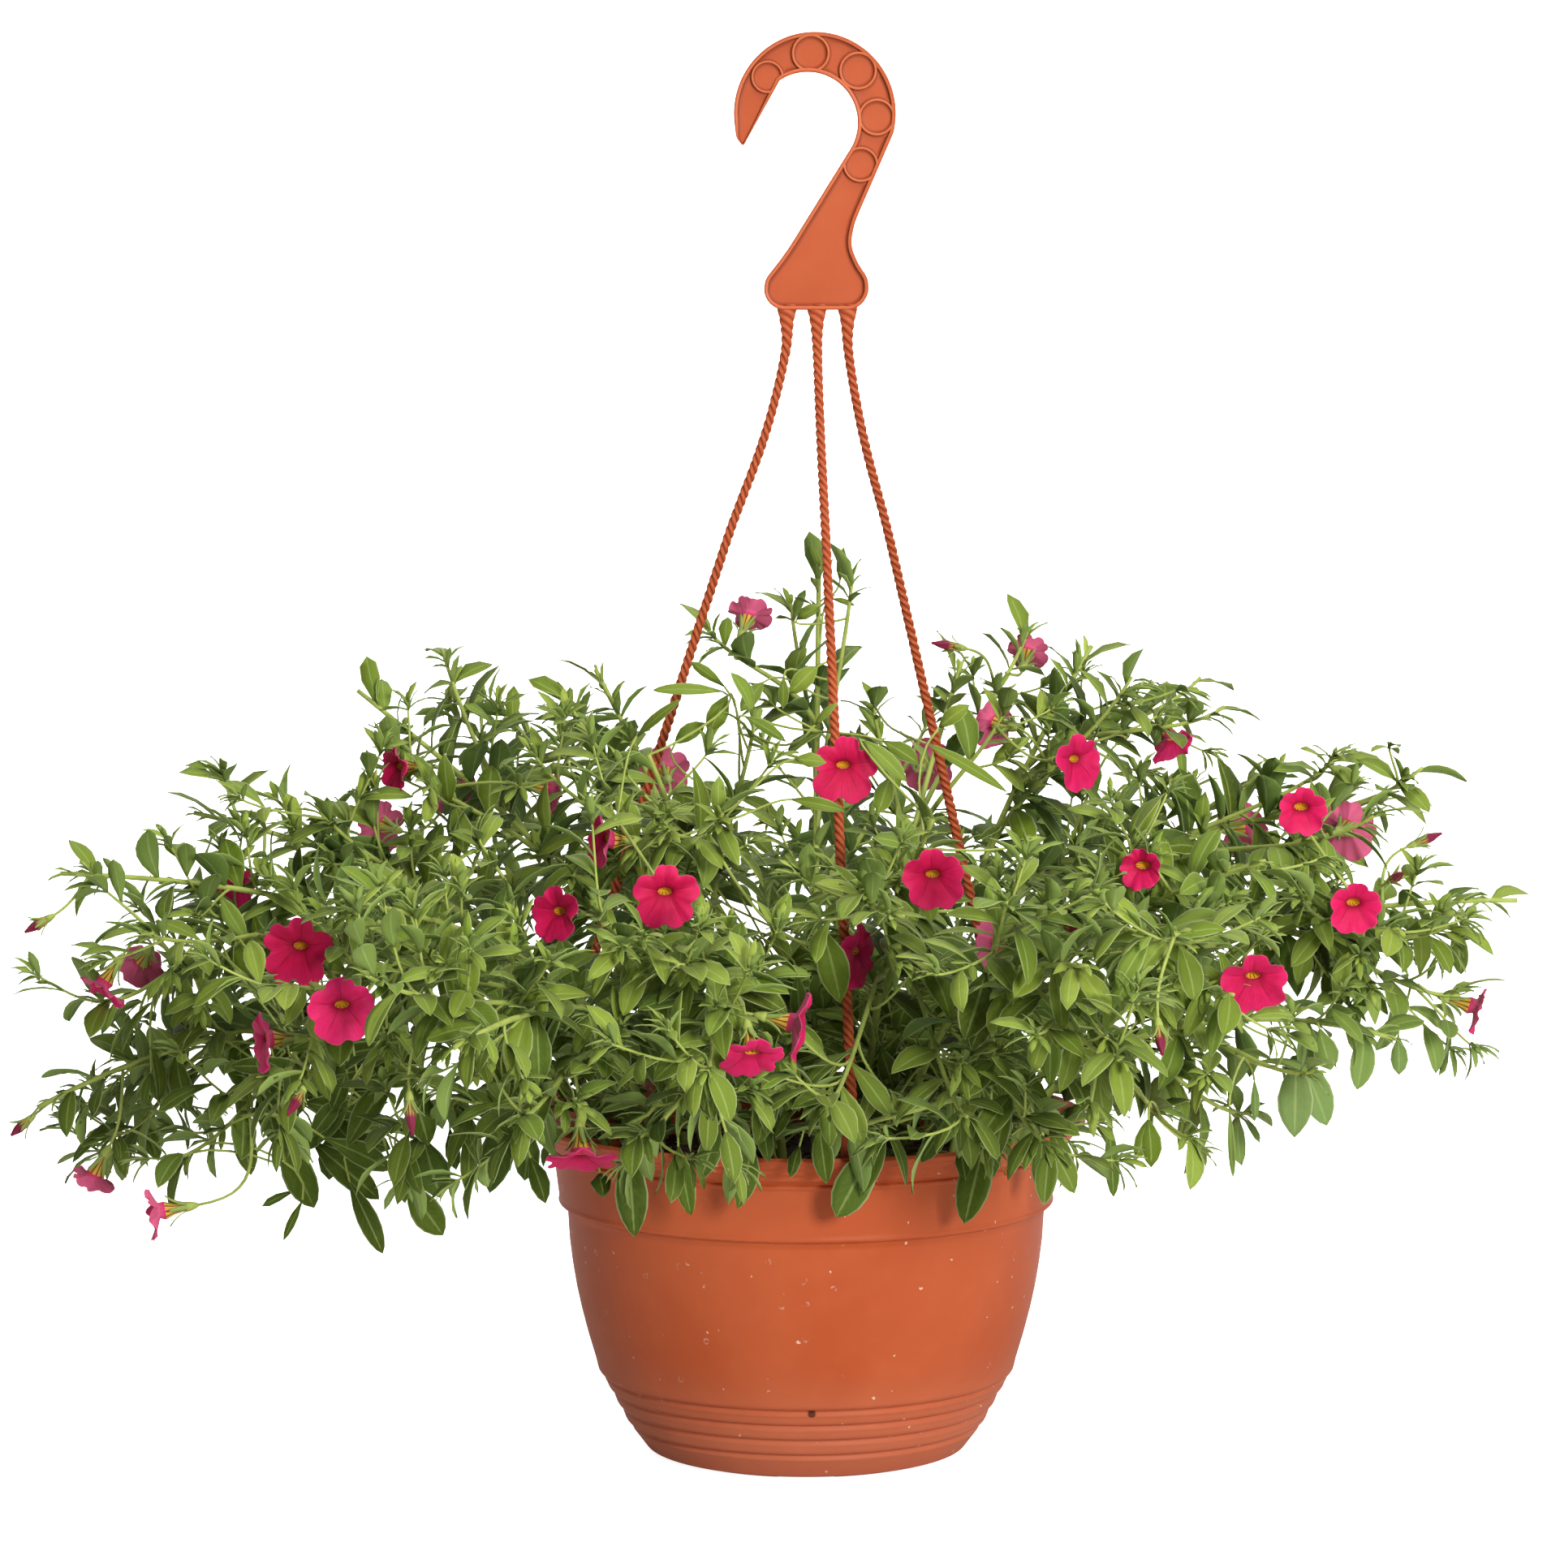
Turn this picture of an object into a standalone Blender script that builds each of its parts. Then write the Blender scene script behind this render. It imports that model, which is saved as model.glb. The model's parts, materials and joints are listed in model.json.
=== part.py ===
"""Calibrachoa hanging basket: a moulded pot with its three-strand hook hanger, filled with a flowering plant.

Run with: blender --background --python part.py
Metres, +Z up, origin at the centre of the pot's base. The front of the basket looks along -Y.
Sizes below are written in millimetres and scaled once by MM.
"""

import math
import random

import bmesh
import bpy
from mathutils import Matrix, Vector
from mathutils.bvhtree import BVHTree

MM = 0.001
GAP = 0.3
FLAT_ANGLE = math.radians(0.02)

for old in list(bpy.data.objects):
    bpy.data.objects.remove(old, do_unlink=True)

# Pot: a thin polypropylene moulding with a flared lip, a plain band, a bowl and four stepped rings
POT_SIDES = 24
POT_LIP_R = 125.0
POT_HEIGHT = 150.4
BASE_R = 69.0
FOOT_HEIGHT = 0.8
FOOT_COUNT = 8
DRAIN_COUNT = 6
DRAIN_R = 4.5
DRAIN_CIRCLE_R = 44.0
POT_OUTSIDE = [
    (0, 0), (20, 0), (21, FOOT_HEIGHT), (BASE_R, FOOT_HEIGHT), (71.2, 1.8),
    (77.7, 11.5), (80.3, 14.2), (81.9, 18.9), (84.2, 21.6), (85.8, 26.3), (88.1, 28.9),
    (90.0, 33.6), (92.4, 36.4), (97.6, 53.0), (102.5, 73.7), (105.6, 95.0), (106.4, 108.0),
    (110.2, 113.6), (112.8, 136.2), (POT_LIP_R, 148.8), (POT_LIP_R - 0.8, POT_HEIGHT),
]
POT_INSIDE = [
    (122.8, 149.9), (110.8, 137.8), (108.4, 114.8), (104.2, 108.6), (98.6, 66.0),
    (88.0, 33.0), (76.0, 12.5), (BASE_R - 1.0, 2.6), (0, 2.6),
]

# Soil: a filled body that follows the pot's inside, with one plain hole for each stem
SOIL_TOP = 127.0
SOIL_CLEAR = 0.45
STEM_DEPTH = 14.0
HOLE_CLEAR = 0.7

# Hanger: hook plate, three strands and their clips, moulded in one piece
HOOK_TOP_Z = 628.5
HOOK_OUT_R = 35.5
HOOK_IN_R = 22.0
HOOK_OUT_C = (3.9, HOOK_TOP_Z - HOOK_OUT_R)
HOOK_IN_C = (0.7, 589.1)
PLATE_Z = 507.3
PLATE_THICK = 4.2
WEB_THICK = 1.8
RIB_WIDTH = 1.5
HOOK_RINGS = [(-17.1, 608.2, 6.2), (2.1, 619.0, 7.4), (22.6, 611.3, 7.4), (31.0, 591.4, 6.9), (24.0, 570.6, 6.9)]
RING_WALL = 1.1
STRAND_R = 2.2
STRAND_SIDES = 6
STRAND_BEND = [(0.0, 0.0), (0.05, 0.045), (0.16, 0.065), (0.3, 0.038)]
STRAND_STIFF = [1.0, 0.8, 1.0]
STRAND_ROOTS_X = [-8.4, 4.8, 18.3]
CLIP_ANGLES = [-110.5, 9.5, 129.5]
CLIP_R = 119.0
CLIP_TOP_Z = 167.0
CLIP_WIDTH = 10.0
CLIP_THICK = 2.4

# Leafy stems: foot in the soil (x, y), then the tips that its shoots reach (x, y, z), the main shoot first
STEMS = [
    ("stem_01", (-85, 10), [(-330, -10, 259), (-286, -70, 240), (-268, 20, 243), (-307, -45, 206)]),
    ("stem_02", (-83, -18), [(-340, -20, 156), (-312, 45, 157), (-273, -75, 142), (-318, 30, 126)]),
    ("stem_03", (-78, 36), [(-280, 70, 278), (-248, 120, 280), (-219, 40, 281), (-252, 70, 225)]),
    ("stem_04", (-54, 50), [(-208, 110, 331), (-171, 140, 348), (-189, 60, 307), (-156, 180, 320)]),
    ("stem_05", (-30, 64), [(-98, 120, 340), (-108, 60, 330), (-144, 210, 310), (-123, 20, 311)]),
    ("stem_06", (4, 22), [(6, 90, 394), (-7, 130, 370), (21, 50, 387), (-45, 60, 363)]),
    ("stem_07", (30, 46), [(72, 100, 345), (104, 140, 356), (91, 50, 328), (30, 40, 331)]),
    ("stem_08", (54, 60), [(133, 120, 351), (148, 60, 341), (186, 150, 334), (193, 90, 325)]),
    ("stem_09", (74, 38), [(213, 100, 294), (243, 60, 305), (275, 20, 305), (251, -30, 288)]),
    ("stem_10", (87, 6), [(315, -10, 247), (280, -60, 242), (289, -20, 206), (257, -90, 239)]),
    ("stem_11", (84, -24), [(257, -50, 191), (217, -100, 184), (198, 0, 150), (167, -80, 152)]),
    ("stem_12", (60, -52), [(188, -180, 283), (148, -240, 261), (173, -210, 232), (138, -130, 285)]),
    ("stem_13", (38, -78), [(111, -260, 250), (80, -240, 274), (124, -270, 214), (98, -205, 170)]),
    ("stem_14", (24, -42), [(53, -130, 295), (24, -180, 271), (66, -200, 180), (9, -200, 186)]),
    ("stem_15", (-8, -85), [(-51, -250, 249), (-83, -220, 265), (-39, -260, 208), (-70, -205, 172)]),
    ("stem_16", (-28, -14), [(-68, -60, 316), (-80, -120, 294), (-22, -40, 331), (-35, -120, 297)]),
    ("stem_17", (-40, -72), [(-137, -290, 222), (-173, -270, 248), (-115, -240, 186), (-154, -230, 250)]),
    ("stem_18", (-62, -50), [(-190, -190, 268), (-211, -210, 236), (-220, -190, 194), (-174, -150, 155)]),
    ("stem_19", (-40, 82), [(-150, 270, 262), (-225, 200, 236), (-90, 260, 215), (-200, 240, 170)]),
    ("stem_20", (6, 86), [(20, 300, 268), (-40, 310, 225), (60, 220, 310), (70, 290, 185)]),
    ("stem_21", (48, 80), [(175, 250, 266), (245, 170, 250), (120, 280, 220), (215, 210, 175)]),
]
STEM_SIDES = 4
SIDE_SIDES = 3
MAIN_R = 1.7
SIDE_R = 1.15
STALK_R = 0.75
SHOOT_CLEAR = 0.6
MAIN_STATIONS = 6
STALK_BEND = math.radians(85)

# Blooms: centre of the face (x, y, z), compass direction from the front towards +X, tilt up, face radius
TUBE_LENGTH = 15.0
CALYX_DEPTH = 4.6
BLOOMS = [
    (16.5, -100, 314.5, 12, 4, 15.4), (-206, -196, 246, -12, 2, 15.5), (-57, -196, 271, 8, -5, 14.8),
    (53, -156, 274, 8, 2, 14.0), (-102, -206, 265, -38, 8, 12.5), (-81, -122, 288, -68, 4, 12.5),
    (-187, 50, 300, -58, 0, 11.5), (199, -128, 299, 2, 4, 11.0), (233, -106, 256, 8, -4, 12.2),
    (183, -192, 235, 8, -24, 15.5), (138, -166, 279, -18, 6, 9.5), (122, 14, 307, 42, 4, 14.5),
    (24, -104, 235, 62, -4, 15.5), (-27, -236, 207, 12, -48, 14.0), (-2, -206, 219, 84, -12, 16.0),
    (-92, -196, 161, 6, -66, 16.0), (-185, -236, 230, 14, -6, 14.5), (-224, -186, 210, -70, 0, 13.5),
    (-307, -60, 213, -58, -52, 11.5), (-297, 6, 216, -155, -32, 11.5), (-258, 36, 250, -22, 0, 11.5),
    (-316, -26, 124, -118, -58, 10.5), (-268, -122, 126, -78, -8, 12.0), (-162, 124, 281, 160, -42, 12.5),
    (-114, 64, 289, 112, -10, 11.0), (-26, 114, 367, 162, 38, 11.5), (105, 156, 347, 168, 28, 10.5),
    (85, 92, 318, -142, 6, 12.0), (166, 96, 309, 36, -44, 12.0), (245, 44, 274, 160, 0, 14.5),
    (294, -22, 202, 82, -16, 11.5), (79, -62, 235, -120, -6, 14.5),
    (-70, 240, 282, 190, 12, 14.5), (60, 262, 284, 168, 6, 15.0), (212, 200, 258, 142, 2, 15.0),
    (-204, 176, 262, -142, 6, 14.0),
]

# Closed buds and spent flowers, fused with their stems: base direction as for the blooms, then length
BUDS = [
    (-204, -206, 193, -30, -40, 15), (-334, -16, 240, -80, -30, 13), (-346, 0, 148, -75, -40, 12),
    (72, 92, 352, -60, 10, 17), (272, 24, 268, 100, 20, 15), (252, -66, 262, 20, 20, 14),
    (-62, -204, 249, 5, -75, 12), (108, -44, 248, 40, -10, 15), (140, -250, 226, 10, -60, 14),
    (-158, -246, 196, 20, -75, 16), (-10, -60, 290, -20, 10, 12), (150, 190, 300, 150, 20, 14),
]

# Leaves: thin blades on short stalks, larger and wider low on a shoot, narrow at its tip
BLADE_THICK = 0.65
LEAF_CLEAR = 0.5
MAIN_LEAVES = 4
SIDE_LEAVES = 3
LEAF_BIG = (37.0, 14.5)
LEAF_SMALL = (26.0, 9.5)
LONG_ROWS = [(0.38, 0.82), (0.68, 0.98)]
SHORT_ROWS = [(0.52, 1.0)]


def colour(code):
    """Linear red, green, blue and alpha of an sRGB hex code."""
    parts = [int(code[i:i + 2], 16) / 255 for i in (0, 2, 4)]
    return [p / 12.92 if p <= 0.04045 else ((p + 0.055) / 1.055) ** 2.4 for p in parts] + [1.0]


def make_material(name, code, roughness):
    made = bpy.data.materials.new(name)
    made.use_nodes = True
    shader = made.node_tree.nodes["Principled BSDF"]
    shader.inputs["Base Color"].default_value = colour(code)
    shader.inputs["Roughness"].default_value = roughness
    shader.inputs["Metallic"].default_value = 0.0
    made.diffuse_color = colour(code)
    return made


TERRACOTTA_PLASTIC = make_material("terracotta_polypropylene", "BE5A35", 0.42)
HANGER_PLASTIC = make_material("hanger_polypropylene", "D0633B", 0.4)
PEAT = make_material("peat", "3A2A1E", 0.95)
LEAF_GREEN = make_material("leaf_green", "5E8A3C", 0.6)
PETAL_PINK = make_material("petal_magenta", "D81F62", 0.5)


def make_object(name, points, faces, material):
    """A mesh object from points in millimetres."""
    mesh = bpy.data.meshes.new(name)
    mesh.from_pydata([Vector(p) * MM for p in points], [], faces)
    mesh.materials.append(material)
    made = bpy.data.objects.new(name, mesh)
    bpy.context.scene.collection.objects.link(made)
    return made


def boolean(target, tools, operation, solver="EXACT"):
    """Joins tools to target, or cuts them from it, in one applied Boolean on a collection."""
    group = bpy.data.collections.new("tools_" + target.name)
    bpy.context.scene.collection.children.link(group)
    for tool in tools:
        bpy.context.scene.collection.objects.unlink(tool)
        group.objects.link(tool)
    step = target.modifiers.new("join", "BOOLEAN")
    step.operation = operation
    step.operand_type = "COLLECTION"
    step.collection = group
    step.solver = solver
    bpy.context.view_layer.update()
    seen = target.evaluated_get(bpy.context.evaluated_depsgraph_get())
    result = bpy.data.meshes.new_from_object(seen)
    for merge_flat in (True, False):
        tidy = bmesh.new()
        tidy.from_mesh(result)
        if merge_flat:
            bmesh.ops.dissolve_limit(tidy, angle_limit=FLAT_ANGLE, verts=tidy.verts, edges=tidy.edges)
        bmesh.ops.triangulate(tidy, faces=tidy.faces)
        if all(len(edge.link_faces) == 2 for edge in tidy.edges):
            break
    tidy.to_mesh(result)
    tidy.free()
    target.modifiers.clear()
    target.data = result
    for tool in tools:
        bpy.data.objects.remove(tool, do_unlink=True)
    bpy.data.collections.remove(group)
    return target


def lathe(profile, sides):
    """Points and faces of a closed profile, from axis to axis, turned about Z."""
    points = []
    rings = []
    for r, z in profile:
        if r == 0:
            rings.append([len(points)])
            points.append((0, 0, z))
            continue
        rings.append([len(points) + i for i in range(sides)])
        for i in range(sides):
            a = 2 * math.pi * i / sides
            points.append((r * math.cos(a), r * math.sin(a), z))
    faces = []
    for low, high in zip(rings, rings[1:]):
        for i in range(sides):
            j = (i + 1) % sides
            if len(low) == 1:
                faces.append((low[0], high[j], high[i]))
            elif len(high) == 1:
                faces.append((low[i], low[j], high[0]))
            else:
                faces.append((low[i], low[j], high[j], high[i]))
    return points, faces


def sweep(ring, route):
    """Rings of a prism that carries the first ring along a route, with a mitre at each bend."""
    rings = [list(ring)]
    for k in range(1, len(route)):
        along = (route[k] - route[k - 1]).normalized()
        after = (route[min(k + 1, len(route) - 1)] - route[k]).normalized() if k < len(route) - 1 else along
        plane = (along + after).normalized()
        rings.append([p + along * ((route[k] - p).dot(plane) / along.dot(plane)) for p in rings[-1]])
    return rings


def tube(route, radius, sides):
    """Points and faces of a capped prism along a route of points; its facets stay flat."""
    along = (route[1] - route[0]).normalized()
    side = along.orthogonal().normalized()
    other = along.cross(side)
    angles = [2 * math.pi * (i + 0.5) / sides for i in range(sides)]
    first = [route[0] + (side * math.cos(a) + other * math.sin(a)) * radius for a in angles]
    points = [p for ring in sweep(first, route) for p in ring]
    last = (len(route) - 1) * sides
    faces = [tuple(reversed(range(sides))), tuple(last + i for i in range(sides))]
    for k in range(0, last, sides):
        for i in range(sides):
            j = (i + 1) % sides
            faces.append((k + i, k + j, k + j + sides, k + i + sides))
    return points, faces


def with_stalk(points, faces, ring, route):
    """Adds a stalk to a flower: it carries the last ring of its open end along the route."""
    rings = sweep([points[i] for i in ring], route)
    sides = len(ring)
    points = list(points)
    before = list(ring)
    faces = list(faces)
    for places in rings[1:]:
        now = list(range(len(points), len(points) + sides))
        points += places
        for i in range(sides):
            j = (i + 1) % sides
            faces.append((before[j], before[i], now[i], now[j]))
        before = now
    faces.append(tuple(reversed(before)))
    return points, faces


def block(size, place):
    """A box of that size, set by a matrix, as points and faces."""
    x, y, z = (s / 2 for s in size)
    corners = [(-x, -y, -z), (x, -y, -z), (x, y, -z), (-x, y, -z), (-x, -y, z), (x, -y, z), (x, y, z), (-x, y, z)]
    faces = [(0, 3, 2, 1), (4, 5, 6, 7), (0, 1, 5, 4), (1, 2, 6, 5), (2, 3, 7, 6), (3, 0, 4, 7)]
    return [place @ Vector(c) for c in corners], faces


def round_about_z(angle, radius, z):
    """Matrix of a place on a circle round the pot's axis: angle from the front towards +X, local -Y outwards."""
    return Matrix.Rotation(math.radians(angle), 4, "Z") @ Matrix.Translation((0, -radius, z))


def make_pot():
    points, faces = lathe(POT_OUTSIDE + POT_INSIDE, POT_SIDES)
    pot = make_object("pot", points, faces, TERRACOTTA_PLASTIC)
    feet = []
    for i in range(FOOT_COUNT):
        place = round_about_z(360 * (i + 0.5) / FOOT_COUNT, BASE_R - 5.0, 0.8)
        feet.append(make_object("foot", *block((26, 4, 1.6), place), TERRACOTTA_PLASTIC))
    boolean(pot, feet, "UNION")
    cutters = []
    for i in range(DRAIN_COUNT):
        a = math.radians(360 * i / DRAIN_COUNT)
        x, y = DRAIN_CIRCLE_R * math.cos(a), DRAIN_CIRCLE_R * math.sin(a)
        cutters.append(make_object("drain", *tube([Vector((x, y, -3)), Vector((x, y, 6))], DRAIN_R, 6), PEAT))
    for angle in CLIP_ANGLES:
        place = round_about_z(angle, CLIP_R, 144)
        slot = (CLIP_WIDTH + 2 * GAP, CLIP_THICK + 2 * GAP, 24)
        cutters.append(make_object("slot", *block(slot, place), PEAT))
    boolean(pot, cutters, "DIFFERENCE")
    pot.data.shade_smooth()
    pot.data.set_sharp_from_angle(angle=math.radians(28))


def soil_profile():
    """The pot's inside drawn in by the clearance, from the middle of its floor up to the soil's top."""
    inner = [(r - SOIL_CLEAR, z) for r, z in reversed(POT_INSIDE) if 0 < r and z < SOIL_TOP]
    inner[0] = (inner[0][0] - 1.0, inner[0][1] + SOIL_CLEAR)
    return [(0, inner[0][1])] + inner + [(108.9, SOIL_TOP - 3.0), (60, SOIL_TOP), (0, SOIL_TOP)]


def make_soil(shoots):
    """The filled body with one hole for each stem, cut along the stem's first length."""
    points, faces = lathe(soil_profile(), POT_SIDES // 2)
    soil = make_object("soil", points, faces, PEAT)
    cutters = []
    for group in shoots.values():
        owner, route, radius = group[0]
        along = (route[1] - route[0]).normalized()
        above = route[0] + along * ((SOIL_TOP + 4 - route[0].z) / along.z)
        hole = tube([route[0] - along * GAP, above], radius + HOLE_CLEAR, STEM_SIDES)
        cutters.append(make_object("stem_hole", *hole, PEAT))
    boolean(soil, cutters, "DIFFERENCE")


def arc(centre, radius, start, end, count):
    """Points on an arc in the hook's plane, as (x, z), angles in degrees."""
    angles = [math.radians(start + (end - start) * i / (count - 1)) for i in range(count)]
    return [(centre[0] + radius * math.cos(a), centre[1] + radius * math.sin(a)) for a in angles]


def hook_outline():
    """The plate's outline in its own plane, clockwise from the tip, seen from the front."""
    outer = arc(HOOK_OUT_C, HOOK_OUT_R, 186, -14, 15)
    inner = arc(HOOK_IN_C, HOOK_IN_R, -30, 124, 10)
    right = [(21.2, 545.0), (19.6, 535.5), (23.1, 527.2), (27.4, 521.2), (27.6, 514.6), (25.0, 510.0), (20.6, PLATE_Z)]
    left = [(-11.7, PLATE_Z), (-16.2, 510.0), (-18.6, 514.6), (-18.0, 520.8), (-12.5, 527.6), (-7.5, 534.5)]
    return [(-27.6, 578.6), (-30.6, 582.4)] + outer + right + left + inner


def inset(outline, width):
    """The outline moved inwards by width; it is clockwise, so the inside lies to the right."""
    moved = []
    count = len(outline)
    for i, (x, z) in enumerate(outline):
        before = Vector((x, z)) - Vector(outline[i - 1])
        after = Vector(outline[(i + 1) % count]) - Vector((x, z))
        normal = (Vector((before.y, -before.x)).normalized() + Vector((after.y, -after.x)).normalized()).normalized()
        reach = width / max(0.45, normal.dot(Vector((after.y, -after.x)).normalized()))
        moved.append((x + normal.x * reach, z + normal.y * reach))
    return moved


def hook_plate():
    """A web with a rib all round its edge on both faces, as one closed mesh."""
    outer = hook_outline()
    inner = inset(outer, RIB_WIDTH)
    count = len(outer)
    layers = [(outer, -PLATE_THICK / 2), (inner, -PLATE_THICK / 2), (inner, -WEB_THICK / 2),
              (inner, WEB_THICK / 2), (inner, PLATE_THICK / 2), (outer, PLATE_THICK / 2)]
    points = [(x, y, z) for loop, y in layers for x, z in loop]
    faces = [tuple(3 * count + i for i in range(count)), tuple(2 * count + i for i in reversed(range(count)))]
    for low, high in ((0, 1), (1, 2), (3, 4), (4, 5), (5, 0)):
        for i in range(count):
            j = (i + 1) % count
            faces.append((low * count + i, high * count + i, high * count + j, low * count + j))
    return points, faces


def ring_relief(x, z, radius):
    """A low round collar that stands on the front of the hook's web."""
    sides = 10
    front, back = -PLATE_THICK / 2 + 0.35, 0.3
    points = []
    for r, y in ((radius, back), (radius, front), (radius - RING_WALL, front), (radius - RING_WALL, back)):
        for i in range(sides):
            a = 2 * math.pi * i / sides
            points.append((x + r * math.cos(a), y, z + r * math.sin(a)))
    faces = []
    for k in range(4):
        for i in range(sides):
            a, b = k * sides + i, k * sides + (i + 1) % sides
            c, d = (k + 1) % 4 * sides + (i + 1) % sides, (k + 1) % 4 * sides + i
            faces.append((a, b, c, d))
    return points, faces


def strand_route(index):
    """A strand from under the hook plate to its clip: it leaves the plate almost straight down, then bends out."""
    a = math.radians(CLIP_ANGLES[index])
    high = Vector((STRAND_ROOTS_X[index], 0, PLATE_Z - 1.0))
    low = Vector((CLIP_R * math.sin(a), -CLIP_R * math.cos(a), CLIP_TOP_Z))
    route = []
    for drop, lag in STRAND_BEND:
        place = high.lerp(low, drop - lag * STRAND_STIFF[index])
        place.z = high.z + (low.z - high.z) * drop
        route.append(place)
    route.append(low + (low - route[-1]).normalized() * 4.0)
    return route


def strand_root(x):
    """The tapered root of a strand under the plate."""
    points = []
    for half, deep, z in ((4.2, PLATE_THICK / 2 - 0.2, PLATE_Z + 2.0), (2.2, 2.0, PLATE_Z - 8.0)):
        points += [(x - half, -deep, z), (x + half, -deep, z), (x + half, deep, z), (x - half, deep, z)]
    faces = [(0, 1, 2, 3), (7, 6, 5, 4), (4, 5, 1, 0), (5, 6, 2, 1), (6, 7, 3, 2), (7, 4, 0, 3)]
    return points, faces


def make_hanger():
    plate = make_object("hanger", *hook_plate(), HANGER_PLASTIC)
    parts = [make_object("ring", *ring_relief(*ring), HANGER_PLASTIC) for ring in HOOK_RINGS]
    for index, angle in enumerate(CLIP_ANGLES):
        parts.append(make_object("root", *strand_root(STRAND_ROOTS_X[index]), HANGER_PLASTIC))
        parts.append(make_object("strand", *tube(strand_route(index), STRAND_R, STRAND_SIDES), HANGER_PLASTIC))
        tab = (CLIP_WIDTH, CLIP_THICK, CLIP_TOP_Z - 132)
        middle = (CLIP_TOP_Z + 132) / 2
        parts.append(make_object("clip", *block(tab, round_about_z(angle, CLIP_R, middle)), HANGER_PLASTIC))
        barb = (CLIP_WIDTH - 1.0, CLIP_THICK + 2.6, 3.0)
        place = round_about_z(angle, CLIP_R + 0.2, 134.2)
        parts.append(make_object("barb", *block(barb, place), HANGER_PLASTIC))
    boolean(plate, parts, "UNION")
    plate.data.shade_smooth()
    plate.data.set_sharp_from_angle(angle=math.radians(35))


def bezier(a, b, c, d, count):
    """Points along a cubic curve with those four control points."""
    steps = [i / (count - 1) for i in range(count)]
    return [a * (1 - t) ** 3 + b * 3 * t * (1 - t) ** 2 + c * 3 * t * t * (1 - t) + d * t ** 3 for t in steps]


def at(route, share):
    """The point and direction at a share of a route's length, counted in its stations."""
    place = min(max(share, 0.0), 1.0) * (len(route) - 1)
    k = min(int(place), len(route) - 2)
    step = route[k + 1] - route[k]
    return route[k] + step * (place - k), step.normalized()


class Thicket:
    """All that has been placed, so that each new piece can be grown clear of it."""

    def __init__(self):
        self.pieces = []

    def add(self, owner, points, faces):
        middle = sum(points, Vector()) / len(points)
        reach = max((p - middle).length for p in points)
        self.pieces.append((owner, middle, reach, BVHTree.FromPolygons(points, faces)))

    def free(self, points, faces, passing=()):
        """True if the piece touches nothing but what the owners in passing have."""
        middle = sum(points, Vector()) / len(points)
        reach = max((p - middle).length for p in points)
        tree = None
        for owner, centre, radius, other in self.pieces:
            if owner in passing or (centre - middle).length > radius + reach:
                continue
            tree = tree or BVHTree.FromPolygons(points, faces)
            if tree.overlap(other):
                return False
        return True


def sidesteps():
    """Small moves that are tried in turn where a piece would touch another."""
    yield Vector((0, 0, 0))
    for step in (6, 11, 17, 24, 32):
        for k in range(6):
            a = math.pi / 3 * k + step
            yield Vector((math.cos(a), math.sin(a), 0.6 * math.cos(3 * a))) * step


def main_route(foot, tip):
    """Up out of the soil, over the rim and out to the tip."""
    flat = Vector((tip.x - foot.x, tip.y - foot.y, 0))
    rise = tip.z - foot.z
    length = (tip - foot).length
    heading = (flat + Vector((0, 0, 0.55 * rise))).normalized()
    droop = max(0.0, 1.0 - rise / 220) * 0.3 * length
    second = foot + Vector((0, 0, 0.42 * length)) + flat * 0.06
    third = tip - heading * 0.38 * length + Vector((0, 0, droop))
    return second, third


def side_route(start, along, tip):
    """Leaves the parent shoot at an acute angle and turns up to its own tip."""
    length = (tip - start).length
    out = (tip - start).normalized()
    leave = (along * 0.7 + out * 0.6 + Vector((0, 0, 0.15))).normalized()
    heading = (out + Vector((0, 0, 0.35))).normalized()
    return start + leave * 0.36 * length, tip - heading * 0.34 * length


def stem_feet():
    return [Vector((x, y, SOIL_TOP - STEM_DEPTH)) for name, (x, y), tips in STEMS]


def grow_shoots(thicket):
    """Routes of all shoots: {stem name: [(owner, route, radius)]}, each bent clear of the rest."""
    shoots = {name: [] for name, foot, tips in STEMS}
    for (name, spot, tips), foot in zip(STEMS, stem_feet()):
        tip = Vector(tips[0])
        second, third = main_route(foot, tip)
        for move in sidesteps():
            route = bezier(foot, second + move * 0.5, third + move, tip, MAIN_STATIONS)
            if thicket.free(*tube(route, MAIN_R + SHOOT_CLEAR, STEM_SIDES)):
                break
        else:
            print("no clear way for", name)
        thicket.add(name + "/0", *tube(route, MAIN_R, STEM_SIDES))
        shoots[name].append((name + "/0", route, MAIN_R))
    for name, spot, tips in STEMS:
        parent = shoots[name][0][1]
        for k, place in enumerate(tips[1:], 1):
            tip = Vector(place)
            near = min(range(40), key=lambda i: (at(parent, i / 39)[0] - tip).length) / 39
            share = min(max(near - 0.3, 0.3), 0.72) + 0.05 * (k - 2)
            route = side_shoot(thicket, name, parent, share, tip)
            if route is None:
                print("no clear way for", name, k)
                continue
            owner = f"{name}/{k}"
            thicket.add(owner, *tube(route, SIDE_R, SIDE_SIDES))
            shoots[name].append((owner, route, SIDE_R))
    return shoots


def side_shoot(thicket, name, parent, share, tip):
    """A clear route from near that share of the parent shoot to the tip, or None."""
    for lower in (0.0, 0.1, -0.1, 0.2):
        start, along = at(parent, share - lower)
        second, third = side_route(start, along, tip)
        for move in sidesteps():
            route = bezier(start, second + move * 0.4, third + move, tip + move * 0.3, 4)
            if thicket.free(*tube(route, SIDE_R + SHOOT_CLEAR, SIDE_SIDES), passing=(name + "/0",)):
                return route
    return None


def facing(azimuth, tilt):
    """Unit vector of a compass direction from the front towards +X, tilted up."""
    a, e = math.radians(azimuth), math.radians(tilt)
    return Vector((math.sin(a) * math.cos(e), -math.cos(a) * math.cos(e), math.sin(e)))


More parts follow.
